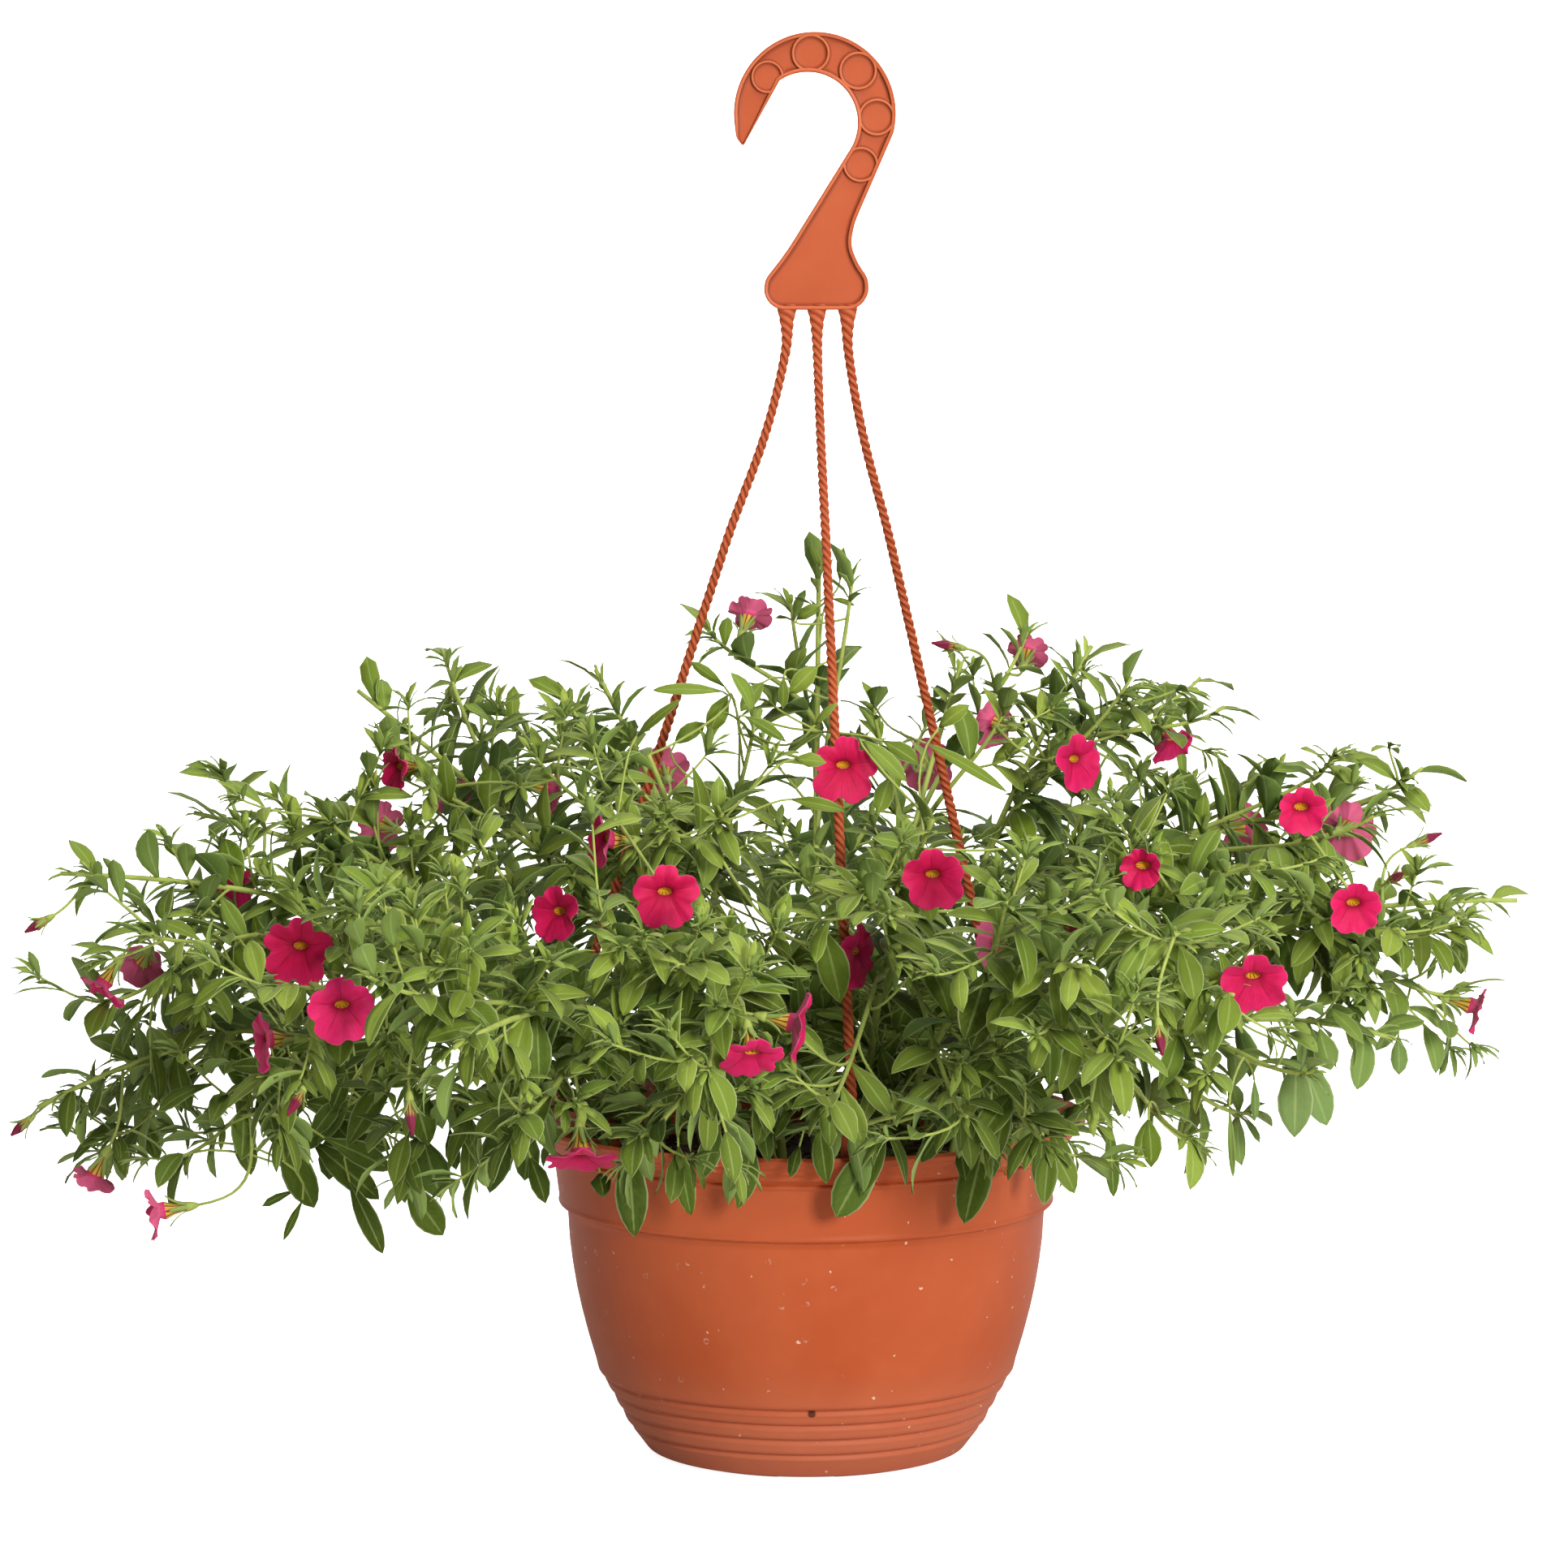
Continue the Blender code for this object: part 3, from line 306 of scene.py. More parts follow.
def petal_finish():
    """Magenta petal face with crimson veins, a dark eye, a gold throat and a paler back."""
    made, shader, add = new_material("magenta_petal")
    place = add("TexCoord", {}).node.outputs["Object"]
    along, across, side = marks(add)
    seed = marks(add, "life")[1]
    soft = add("TexNoise", {"Scale": 300.0, "Detail": 2.0}, place)
    face = add("Mix", COLOURS, seed, "C80E48", "D8266E")
    face = add("Mix", COLOURS, add("MapRange", SMOOTH, soft, 0.4, 0.7, 0.0, 0.35), face, "B00830")
    face = add("Mix", COLOURS, add("MapRange", SMOOTH, along, 0.45, 0.95, 0.0, 0.14), face, "F03C88")

    middle = add("MapRange", SMOOTH, add("Math", SIZE, across), 0.085, 0.0)
    fan = add("Math", MINUS, add("Math", FRACTION, add("Math", TIMES, across, 4.5)), 0.5)
    fan = add("MapRange", SMOOTH, add("Math", SIZE, fan), 0.16, 0.02, 0.0, 0.4)
    veins = add("Math", TIMES, add("Math", LARGER, middle, fan), add("MapRange", SMOOTH, along, 1.0, 0.4))
    face = add("Mix", COLOURS, add("Math", TIMES, veins, 0.85), face, "82062E")
    face = add("Mix", COLOURS, add("MapRange", SMOOTH, along, 0.42, 0.12, 0.0, 0.8), face, "93062A")
    face = add("Mix", COLOURS, add("MapRange", SMOOTH, along, 0.94, 1.0, 0.0, 0.3), face, "EE6A98")
    back = add("Mix", COLOURS, seed, "CB4F7A", "D66488")
    back = add("Mix", COLOURS, add("Math", TIMES, veins, 0.5), back, "A52C58")
    bump = add("Bump", {"Strength": 0.3, "Distance": 0.0003, "Height": veins})
    add(shader, {"Roughness": 0.55, "IOR": 1.4, "Specular IOR Level": 0.2, "Sheen Weight": 0.1,
                 "Sheen Roughness": 0.35, "Sheen Tint": "FF86B0", "Base Color": add("Mix", COLOURS, side, face, back),
                 "Normal": bump})
    return made


def tube_finish(name, ground, stripe, tip, tip_from):
    """Striped flower tube that turns to another colour past tip_from."""
    made, shader, add = new_material(name)
    along, across = marks(add)[:2]
    lines = add("Math", MINUS, add("Math", FRACTION, add("Math", TIMES, across, 10.0)), 0.5)
    lines = add("Math", SIZE, lines)
    face = add("Mix", COLOURS, add("MapRange", SMOOTH, lines, 0.22, 0.1), ground, stripe)
    face = add("Mix", COLOURS, add("MapRange", SMOOTH, along, tip_from, tip_from + 0.15), face, tip)
    bump = add("Bump", {"Strength": 0.3, "Distance": 0.0003, "Height": lines})
    add(shader, {"Roughness": 0.55, "IOR": 1.4, "Specular IOR Level": 0.35, "Sheen Weight": 0.2,
                 "Sheen Tint": "FFF1C8", "Base Color": face, "Normal": bump})
    return made


PETAL = petal_finish()
FLOWER_TUBE = tube_finish("striped_flower_tube", "CDAA3E", "7B3B1E", "CB4F7A", 0.98)
FOLDED = tube_finish("folded_petal_tip", "B09246", "6E2F22", "7E1238", 0.42)
THROAT = tube_finish("gold_throat", "E3A81E", "8A4E12", "93062A", 0.9)
print("flower finishes:", PETAL.name, FLOWER_TUBE.name, FOLDED.name, THROAT.name)

# %% [markdown]
# ## Peat and the studio card
# Peat is dark, damp and fibrous, with paler threads and crumbs. The floor is matt white card that also glows behind
# the basket, so it stays white there, and fades to plain card in front and at the sides.

# %% Peat and card


def peat_finish():
    """Damp peat: near black, with brown crumbs and pale threads."""
    made, shader, add = new_material("damp_peat")
    place = add("TexCoord", {}).node.outputs["Object"]
    crumb = add("TexNoise", {"Scale": 350.0, "Detail": 6.0}, place)
    thread = add("TexNoise", {"Scale": 120.0, "Detail": 2.0, "Distortion": 6.0}, place)
    thread = add("MapRange", SMOOTH, add("Math", SIZE, add("Math", MINUS, thread, 0.5)), 0.02, 0.0, 0.0, 0.5)
    face = add("Mix", COLOURS, add("MapRange", SMOOTH, crumb, 0.35, 0.7), "20150E", "4B3422")
    bump = add("Bump", {"Strength": 0.9, "Distance": 0.002, "Height": crumb})
    add(shader, {"Roughness": 0.9, "IOR": 1.4, "Specular IOR Level": 0.25,
                 "Base Color": add("Mix", COLOURS, thread, face, "7A5A3C"), "Normal": bump})
    return made


def card_finish():
    """White card with a glow behind the basket."""
    made, shader, add = new_material("white_card")
    place = add("TexCoord", {}).node.outputs["Object"]
    x, y = add("SeparateXYZ", {}, place).node.outputs[:2]
    aside = add("Math", TIMES_PLUS, y, -0.15, add("Math", SIZE, x))
    glow = add("Math", TIMES, add("MapRange", SMOOTH, aside, 0.62, 0.38), add("MapRange", SMOOTH, y, -0.42, -0.21))
    add(shader, {"Base Color": "E4E4E4", "Roughness": 0.9, "Specular IOR Level": 0.1, "Emission Color": "FFFFFF",
                 "Emission Strength": add("Math", TIMES_PLUS, glow, 0.86, 0.06)})
    return made


PEAT = peat_finish()
CARD = card_finish()
print("ground finishes:", PEAT.name, CARD.name)

# %% [markdown]
# ## Meshes that carry marks
# Every plant piece is gathered in one Shape: points, faces, the material of each face and the marks of each point.
# Gathering first and making the mesh once is far quicker than adding leaves one by one.

# %% Shape: points, faces and marks


class Shape:
    """Collects points in millimetres, faces and marks until they become one mesh object."""

    def __init__(self):
        self.points, self.place, self.life, self.faces, self.slots = [], [], [], [], []
        self.count = 0

    def add(self, points, faces, slot=0, place=(0.5, 0, 0), young=0.0, seed=0.5):
        """Adds points with their marks, and faces that number those points from 0."""
        points = np.asarray(points, dtype=float).reshape(-1, 3)
        self.points.append(points)
        self.place.append(np.broadcast_to(np.asarray(place, dtype=float), points.shape))
        self.life.append(np.broadcast_to(np.array([young, seed, 0.0]), points.shape))
        self.faces.extend([tuple(i + self.count for i in face) for face in faces])
        self.slots.extend([slot] * len(faces))
        self.count += len(points)

    def finish(self, name, materials, replaced, sharp=None):
        """Makes the object, hides the solids that it stands for and lets it ride with the basket."""
        mesh = bpy.data.meshes.new(name)
        mesh.from_pydata((np.concatenate(self.points) * MM).tolist(), [], self.faces)
        for material in materials:
            mesh.materials.append(material)
        mesh.polygons.foreach_set("material_index", self.slots)
        for label, rows in (("place", self.place), ("life", self.life)):
            kept = mesh.attributes.new(label, "FLOAT_VECTOR", "POINT")
            kept.data.foreach_set("vector", np.concatenate(rows).ravel())
        mesh.shade_smooth()
        if sharp:
            mesh.set_sharp_from_angle(angle=math.radians(sharp))
        made = bpy.data.objects.new(name, mesh)
        bpy.context.scene.collection.objects.link(made)
        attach(made, "root")
        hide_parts(*replaced)
        return made


print("a new shape has", Shape().count, "points")

# %% [markdown]
# Leaves, sepals, stalks and ropes are all grids of points, open or rolled up, so a few small functions number
# their faces once. Blender could also thicken a flat leaf with a modifier, but then the marks would be lost.

# %% Faces of grids, sheets and tubes


def grid_faces(rows, columns, start=0, flip=False, wrap=False):
    """Quads of a grid of points numbered row by row; wrap joins the last column to the first."""
    faces = []
    for r in range(rows - 1):
        for c in range(columns if wrap else columns - 1):
            d = (c + 1) % columns
            a, b = start + r * columns + c, start + r * columns + d
            quad = (a, b, b + columns, a + columns)
            faces.append(tuple(reversed(quad)) if flip else quad)
    return faces


def sheet_faces(rows, columns):
    """Faces of a thin closed sheet: a top grid, a bottom grid numbered after it, and the rim between them."""
    below = rows * columns
    faces = grid_faces(rows, columns) + grid_faces(rows, columns, below, flip=True)
    rim = [*range(columns), *(r * columns + columns - 1 for r in range(1, rows))]
    rim += [(rows - 1) * columns + c for c in range(columns - 2, -1, -1)]
    rim += [r * columns for r in range(rows - 2, 0, -1)]
    for a, b in zip(rim, rim[1:] + rim[:1]):
        faces.append((b, a, a + below, b + below))
    return faces


def sheet_marks(t, u):
    """Marks of such a sheet, how far along and across and on which side, for its top grid and then its bottom one."""
    top = np.stack([t + 0 * u, u + 0 * t, 0 * t * u], axis=-1).reshape(-1, 3)
    return np.concatenate([top, top + np.array([0, 0, 1.0])])


def tube_faces(rows, sides):
    """Faces of a tube of rings numbered one after another, closed at both ends."""
    last = (rows - 1) * sides
    return grid_faces(rows, sides, wrap=True) + [tuple(reversed(range(sides))), tuple(range(last, last + sides))]


def moved(place, points):
    """The points, each set by a matrix."""
    return [place @ Vector(p) for p in points]


print("a sheet of 3 by 3 points has", len(sheet_faces(3, 3)), "faces")

# %% [markdown]
# A potter's wheel turns one profile into a pot, and `turned` does the same with numbers. A Screw modifier would
# do it too. Points are used here, because the feet have to move some of them on the way round.

# %% Turned shapes and rounded corners


def turned(profile, sides, bend=None):
    """Points and faces of a closed profile from axis to axis turned about Z; bend may move each point."""
    points, rings, faces = [], [], []
    for r, z in profile:
        if r == 0:
            rings.append([len(points)])
            points.append((0.0, 0.0, z))
            continue
        rings.append(list(range(len(points), len(points) + sides)))
        for i in range(sides):
            a = 2 * math.pi * i / sides
            far, high = bend(r, z, a) if bend else (r, z)
            points.append((far * math.cos(a), far * math.sin(a), high))
    for low, high in zip(rings, rings[1:]):
        for i in range(sides):
            j = (i + 1) % sides
            if len(low) == 1:
                faces.append((low[0], high[j], high[i]))
            elif len(high) == 1:
                faces.append((low[i], low[j], high[0]))
            else:
                faces.append((low[i], low[j], high[j], high[i]))
    return points, faces


def ring_marks(profile, pairs, sides):
    """Marks of painted highlight on edges and painted shade in grooves, for the points of a turned profile."""
    return [(0.5, *pair) for (r, z), pair in zip(profile, pairs) for _ in range(sides if r else 1)]


def softened(corners, reach, steps=4):
    """A chain of points with each inner corner rounded by a short curve that starts at most reach from it."""
    corners = [Vector(c) for c in corners]
    chain = [corners[0]]
    for before, here, after in zip(corners, corners[1:], corners[2:]):
        cut = min(reach, 0.45 * (here - before).length, 0.45 * (after - here).length)
        first = here + (before - here).normalized() * cut
        last = here + (after - here).normalized() * cut
        for k in range(steps + 1):
            t = k / steps
            chain.append(first * (1 - t) ** 2 + here * 2 * t * (1 - t) + last * t * t)
    return [tuple(p) for p in chain + [corners[-1]]]


print("a rounded corner has", len(softened([(0, 0), (1, 0), (1, 1)], 0.2)) - 2, "points")

# %% [markdown]
# ## The pot
# A moulded pot is a turned shape: one profile spun about its axis. The profile comes from the solid's own sizes, with
# every edge rounded as a mould leaves it, fine rings under the flare, a bead at the foot of the band and four soft
# steps near the base. The feet are lifts in the base ring, and the drain holes and rim slots are cut through.

# %% Sizes of the pot and of the clips that it takes
POT_SIDES = 96
SHARP_FOLD = 35
FOOT_RISE = 0.8
FOOT_RING = (62, 66)
POT_FOOT = [(0, 0), (20, 0), (21, FOOT_RISE)]
POT_STEPS = [(77.7, 11.5, 80.3, 14.2), (81.9, 18.9, 84.2, 21.6), (85.8, 26.3, 88.1, 28.9), (90.0, 33.6, 92.4, 36.4)]
POT_BODY = [(94.2, 41.5), (97.6, 53.0), (100.3, 63.5), (102.5, 73.7), (104.3, 84.5), (105.6, 95.0), (106.4, 108.0),
            (108.2, 111.0), (109.6, 111.4), (110.7, 112.5), (110.2, 114.3), (111.4, 124.0), (112.6, 134.6),
            (113.6, 135.3), (113.7, 136.3), (112.9, 137.0)]
FLARE_FROM, FLARE_TO = Vector((112.8, 136.2)), Vector((125.0, 148.8))
POT_INSIDE = [(122.8, 149.9), (110.8, 137.8), (108.4, 114.8), (104.2, 108.6), (98.6, 66.0),
              (88.0, 33.0), (76.0, 12.5), (68.0, 2.6), (0, 2.6)]
FOOT_COUNT = 8
FOOT_ANGLE = 11.5
DRAIN_COUNT = 6
DRAIN_R = 4.5
DRAIN_CIRCLE_R = 44.0
CLIP_ANGLES = [-110.5, 9.5, 129.5]
CLIP_R = 119.0
CLIP_TOP_Z = 167.0
CLIP_FOOT_Z = 132.0
CLIP_WIDTH = 10.0
CLIP_THICK = 2.4
SLOT_PLAY = 0.6
SLOT_Z, SLOT_HIGH = 144, 24
print("the pot is", 2 * FLARE_TO.x, "mm wide at its lip")

# %% [markdown]
# Holes are cut with one Boolean for all cutters, which is quicker than one for each hole. The marks of the painted
# highlight on raised edges and of the painted shade in grooves come from the profile itself: a point that stands out
# of its surroundings is an edge.

# %% Tools for moulded parts


def round_about_z(angle, radius, z):
    """Matrix of a place on a circle round the pot's axis: angle from the front towards +X, local -Y outwards."""
    return Matrix.Rotation(math.radians(angle), 4, "Z") @ Matrix.Translation((0, -radius, z))


def cut_away(target, cutters):
    """Cuts the closed shapes, given as points and faces, out of a piece in one applied Boolean."""
    group = bpy.data.collections.new("cutters")
    bpy.context.scene.collection.children.link(group)
    for points, faces in cutters:
        mesh = bpy.data.meshes.new("cutter")
        mesh.from_pydata([tuple(Vector(p) * MM) for p in points], [], faces)
        group.objects.link(bpy.data.objects.new("cutter", mesh))
    step = target.modifiers.new("cut", "BOOLEAN")
    step.operation = "DIFFERENCE"
    step.operand_type = "COLLECTION"
    step.collection = group
    bpy.context.view_layer.update()
    result = bpy.data.meshes.new_from_object(target.evaluated_get(bpy.context.evaluated_depsgraph_get()))
    target.modifiers.clear()
    target.data = result
    for made in list(group.objects):
        bpy.data.objects.remove(made, do_unlink=True)
    bpy.data.collections.remove(group)


def block(size, place):
    """A box of that size, set by a matrix, as points and faces."""
    x, y, z = (s / 2 for s in size)
    corners = [(-x, -y, -z), (x, -y, -z), (x, y, -z), (-x, y, -z), (-x, -y, z), (x, -y, z), (x, y, z), (-x, y, z)]
    faces = [(0, 3, 2, 1), (4, 5, 6, 7), (0, 1, 5, 4), (1, 2, 6, 5), (2, 3, 7, 6), (3, 0, 4, 7)]
    return moved(place, corners), faces


def folds(profile, reach=2.2):
    """Painted highlight and shade marks: how far each profile point stands out of, or lies below, its surroundings."""
    chain = [Vector(p) for p in profile]
    marks_of = []
    for i, here in enumerate(chain):
        before = next((p for p in reversed(chain[:i]) if (p - here).length > reach), chain[0])
        after = next((p for p in chain[i + 1:] if (p - here).length > reach), chain[-1])
        way = (after - before).normalized() if (after - before).length > 0.01 else Vector((0, 1))
        out = (here - before).dot(Vector((way.y, -way.x)))
        marks_of.append((min(1.0, max(0.0, out / 0.7)), min(1.0, max(0.0, -out / 0.5))))
    return marks_of


print("a block has", len(block((1, 1, 1), Matrix())[1]), "faces")

# %% [markdown]
# The pot is one turned shell with a rolled rim and a raised foot. Its wall is one closed profile, outside and
# inside, so that it has a real thickness at the rim, where the light shows it. Holes and slots are cut last.

# %% Pot


def flare_rings():
    """Three fine raised rings along the slope of the flare."""
    slope = FLARE_TO - FLARE_FROM
    outwards = Vector((slope.y, -slope.x)).normalized()
    chain = []
    for k in range(3):
        for step, height in ((0.0, 0.0), (0.05, 0.45), (0.1, 0.45), (0.15, 0.0)):
            chain.append(tuple(FLARE_FROM + slope * (0.2 + 0.25 * k + step) + outwards * height))
    return chain


def foot_lift(r, z, a):
    """Drops the ring of the base that carries the feet."""
    turn = math.degrees(a) % (360 / FOOT_COUNT)
    on_foot = abs(turn - 180 / FOOT_COUNT) < FOOT_ANGLE
    return r, 0.0 if on_foot and z == FOOT_RISE and r in FOOT_RING else z


def make_pot():
    """The turned body with its feet, its drain holes and the slots for the clips."""
    outside = softened(POT_FOOT, 0.3) + [(r, FOOT_RISE) for r in (61.6, *FOOT_RING, 66.4)]
    steps = [(66.8, FOOT_RISE), (69, FOOT_RISE), (71.4, 1.6), (75.9, 7.6)]
    for low_r, low_z, high_r, high_z in POT_STEPS:
        steps += [(low_r + 0.3, low_z - 1.2), (low_r - 0.5, low_z + 0.1), (low_r + 0.1, low_z + 1.0),
                  (high_r - 0.2, high_z - 0.9), (high_r + 0.7, high_z + 0.4), (high_r + 1.2, high_z + 2.0)]
    outside += softened(steps[:-1] + POT_BODY, 0.8, 3)[1:-1]
    outside += softened([POT_BODY[-1]] + flare_rings() + [tuple(FLARE_TO), (124.2, 150.4)], 0.5, 3)
    profile = outside + softened(POT_INSIDE, 1.5, 3)
    shape = Shape()
    shape.add(*turned(profile, POT_SIDES, foot_lift), 0, ring_marks(profile, folds(profile), POT_SIDES))
    pot = shape.finish("moulded_pot", [POT_PLASTIC], ["pot"])
    points, faces = turned([(0, -3), (DRAIN_R, -3), (DRAIN_R, 6), (0, 6)], 32)
    cutters = []
    for i in range(DRAIN_COUNT):
        a = 2 * math.pi * i / DRAIN_COUNT
        place = Matrix.Translation((DRAIN_CIRCLE_R * math.cos(a), DRAIN_CIRCLE_R * math.sin(a), 0))
        cutters.append((moved(place, points), faces))
    slot_size = (CLIP_WIDTH + SLOT_PLAY, CLIP_THICK + SLOT_PLAY, SLOT_HIGH)
    cutters += [block(slot_size, round_about_z(angle, CLIP_R, SLOT_Z)) for angle in CLIP_ANGLES]
    cut_away(pot, cutters)
    pot.data.shade_smooth()
    pot.data.set_sharp_from_angle(angle=math.radians(SHARP_FOLD))
    return pot


moulded_pot = make_pot()
print("pot faces:", len(moulded_pot.data.polygons))

# %% [markdown]
# ## The hook, its strands and clips
# The hanger is one moulding. Its hook is a flat web with a rounded rib round its edge, and five rings stand on the
# web where the mould's ejector pins push. Three strands run down to the pot. Their surface is moulded like a laid
# rope of three lobes with a turn every 12 mm, so each strand is a tube whose lobed section turns as it goes.

# %% Sizes of the hook plate
HOOK_TOP_Z = 628.5
HOOK_OUT_R = 35.5
HOOK_IN_R = 22.0
HOOK_OUT_C = (3.9, HOOK_TOP_Z - HOOK_OUT_R)
HOOK_IN_C = (0.7, 589.1)
PLATE_Z = 507.3
# how far in from the edge, and how far behind the plate's middle; the front mirrors the back
RIM_SECTION = [(0.35, 2.1), (0.0, 1.75)]
WEB_SECTION = [(1.3, 2.1), (1.7, 1.8), (1.95, 0.5), (2.3, 0.3), (3.6, 0.3)]
# painted highlight and painted shade at each point of the web's section
WEB_MARKS = [(1.0, 0.0), (0.3, 0.2), (0.0, 0.8), (0.0, 1.0), (0.0, 0.0)]
# middle and radius of each ring on the web
HOOK_RINGS = [(-16.9, 608.9, 7.2), (2.1, 619.2, 8.5), (22.8, 611.6, 8.4), (31.0, 591.4, 8.2), (24.0, 570.8, 7.8)]
RING_INSET = 0.7
RING_SECTION = [(0.0, 0.1), (1.14, 0.1), (1.14, 0.32), (1.01, 0.38), (1.0, 1.3), (0.985, 1.75), (0.955, 2.0),
                (0.92, 2.05), (0.885, 2.0), (0.855, 1.75), (0.83, 0.9), (0.8, 0.75), (0.66, 0.75), (0.0, 0.75)]
# painted highlight and painted shade at each point of a ring's section
RING_MARKS = [(0, 0), (0, 0), (0, 0), (0, 1), (0, 0.6), (0.5, 0), (1, 0), (1, 0), (1, 0), (0.5, 0.2), (0, 0.9), (0, 1),
              (0, 0), (0, 0)]


print("the hook's top stands at", HOOK_TOP_Z, "mm")

# %% [markdown]
# The plate could be drawn as a flat curve with a bevel, but a bevel is the same on all sides. Here the outline
# is moved inwards in steps at several depths, which gives the rounded rib and the thinner web in one closed piece.

# %% Hook plate with ribs and rings


def arc(centre, radius, start, end, count):
    """Points on an arc in the hook's plane, as (x, z), angles in degrees."""
    angles = [math.radians(start + (end - start) * i / (count - 1)) for i in range(count)]
    return [(centre[0] + radius * math.cos(a), centre[1] + radius * math.sin(a)) for a in angles]


def hook_outline():
    """The plate's outline in its own plane, clockwise from the tip, seen from the front."""
    outer = arc(HOOK_OUT_C, HOOK_OUT_R, 186, -14, 70)
    inner = arc(HOOK_IN_C, HOOK_IN_R, -30, 124, 50)
    right = [(21.2, 545.0), (19.6, 535.5), (23.1, 527.2), (27.4, 521.2), (27.6, 514.6), (25.0, 510.0), (20.6, PLATE_Z)]
    left = [(-11.7, PLATE_Z), (-16.2, 510.0), (-18.6, 514.6), (-18.0, 520.8), (-12.5, 527.6), (-7.5, 534.5)]
    sides = softened([outer[-1]] + right + left + [inner[0]], 4.5, 5)[1:-1]
    tip = softened([inner[-1], (-27.6, 578.6), (-30.6, 582.4), outer[0]], 1.6, 5)[1:-1]
    return tip + outer + sides + inner


def inward_rays(outline):
    """For each point of a clockwise outline, its inward normal and how far it may move in."""
    count = len(outline)
    corners = [Vector(p) for p in outline]
    rays = []
    for i, here in enumerate(corners):
        before, after = here - corners[i - 1], corners[(i + 1) % count] - here
        normal = (Vector((before.y, -before.x)).normalized() + Vector((after.y, -after.x)).normalized()).normalized()
        room = 30.0
        for j in range(count):
            if min((i - j) % count, (j - i) % count) > 3 and (corners[j] - here).normalized().dot(normal) > 0.5:
                room = min(room, (corners[j] - here).length)
        rays.append((here, normal, 0.36 * room))
    return rays


def hook_plate():
    """Web and rib as one closed mesh, from the back's web round the edge to the front's web."""
    outline = hook_outline()
    rays = inward_rays(outline)
    back = WEB_SECTION[::-1] + RIM_SECTION
    layers = back + [(width, -deep) for width, deep in reversed(back)]
    marks_of = WEB_MARKS[::-1] + [(0.0, 0.0)] * 4 + WEB_MARKS
    place = [(0.5, edge, painted_groove_shade) for edge, painted_groove_shade in marks_of for _ in rays]
    points = []
    for width, deep in layers:
        for here, normal, room in rays:
            spot = here + normal * width * min(1.0, room / 3.0)
            points.append((spot.x, deep, spot.y))
    return points, tube_faces(len(layers), len(outline)), 0, place


def hook_ring(x, z, radius):
    """A low cup with a rounded rim on the front of the web, kept a little inside the plate's outline."""
    points, faces = turned([(share * radius, high) for share, high in RING_SECTION], 48)
    corners = [Vector(p) for p in hook_outline()]
    kept = []
    for px, py, pz in points:
        spot = Vector((x + px, z + py))
        nearest = []
        for here, after in zip(corners, corners[1:] + corners[:1]):
            way = after - here
            share = min(1.0, max(0.0, (spot - here).dot(way) / way.length_squared))
            nearest.append(((here + way * share - spot).length, here + way * share, way.normalized()))
        _, near, way = min(nearest, key=lambda item: item[0])
        inwards = Vector((way.y, -way.x))
        spot += inwards * max(0.0, RING_INSET - (spot - near).dot(inwards))
        kept.append((spot.x, -pz, spot.y))
    return kept, faces, 0, ring_marks(RING_SECTION, RING_MARKS, 48)


hanger_shape = Shape()
hanger_shape.add(*hook_plate())
for spot in HOOK_RINGS:
    hanger_shape.add(*hook_ring(*spot))
print("hook points:", hanger_shape.count)

# %% [markdown]
# On the real hanger the strands only look like rope: they are moulded solid. An array of small links would break
# at the bends, so one lobed section is carried along the strand and turned a little at each millimetre.

# %% Strands and clips
STRAND_ROOTS_X = [-8.4, 4.8, 18.3]
# share of the way down, and by how much the strand lags behind a straight line there
STRAND_BEND = [(0.0, 0.0), (0.05, 0.045), (0.16, 0.065), (0.3, 0.038)]
STRAND_STIFF = [1.0, 0.8, 1.0]
STRAND_R = 2.0
LAY = 11.6
LOBE = (0.74, 1.03, 1.15, 1.03)
LOBES = 3


def strand_route(index):
    """A strand from under the hook plate to its clip: it leaves the plate almost straight down, then bends out."""
    a = math.radians(CLIP_ANGLES[index])
    high = Vector((STRAND_ROOTS_X[index], 0, PLATE_Z - 1.0))
    low = Vector((CLIP_R * math.sin(a), -CLIP_R * math.cos(a), CLIP_TOP_Z))
    route = []
    for drop, lag in STRAND_BEND:
        place = high.lerp(low, drop - lag * STRAND_STIFF[index])
        place.z = high.z + (low.z - high.z) * drop
        route.append(place)
    route.append(low + (low - route[-1]).normalized() * 4.0)
    return route


def smooth_route(route, spacing):
    """Points about spacing apart on a curve through the route."""
    ends = [route[0] * 2 - route[1]] + list(route) + [route[-1] * 2 - route[-2]]
    chain = []
    for k in range(1, len(ends) - 2):
        before, here, after, later = ends[k - 1:k + 3]
        gap = (after - here).length
        pull_in, pull_out = (after - before).normalized() * gap / 3, (later - here).normalized() * gap / 3
        steps = max(2, round(gap / spacing))
        for i in range(steps):
            t = i / steps
            chain.append(here * (1 - t) ** 3 + (here + pull_in) * 3 * t * (1 - t) ** 2
                         + (after - pull_out) * 3 * t * t * (1 - t) + after * t ** 3)
    return chain + [ends[-2]]


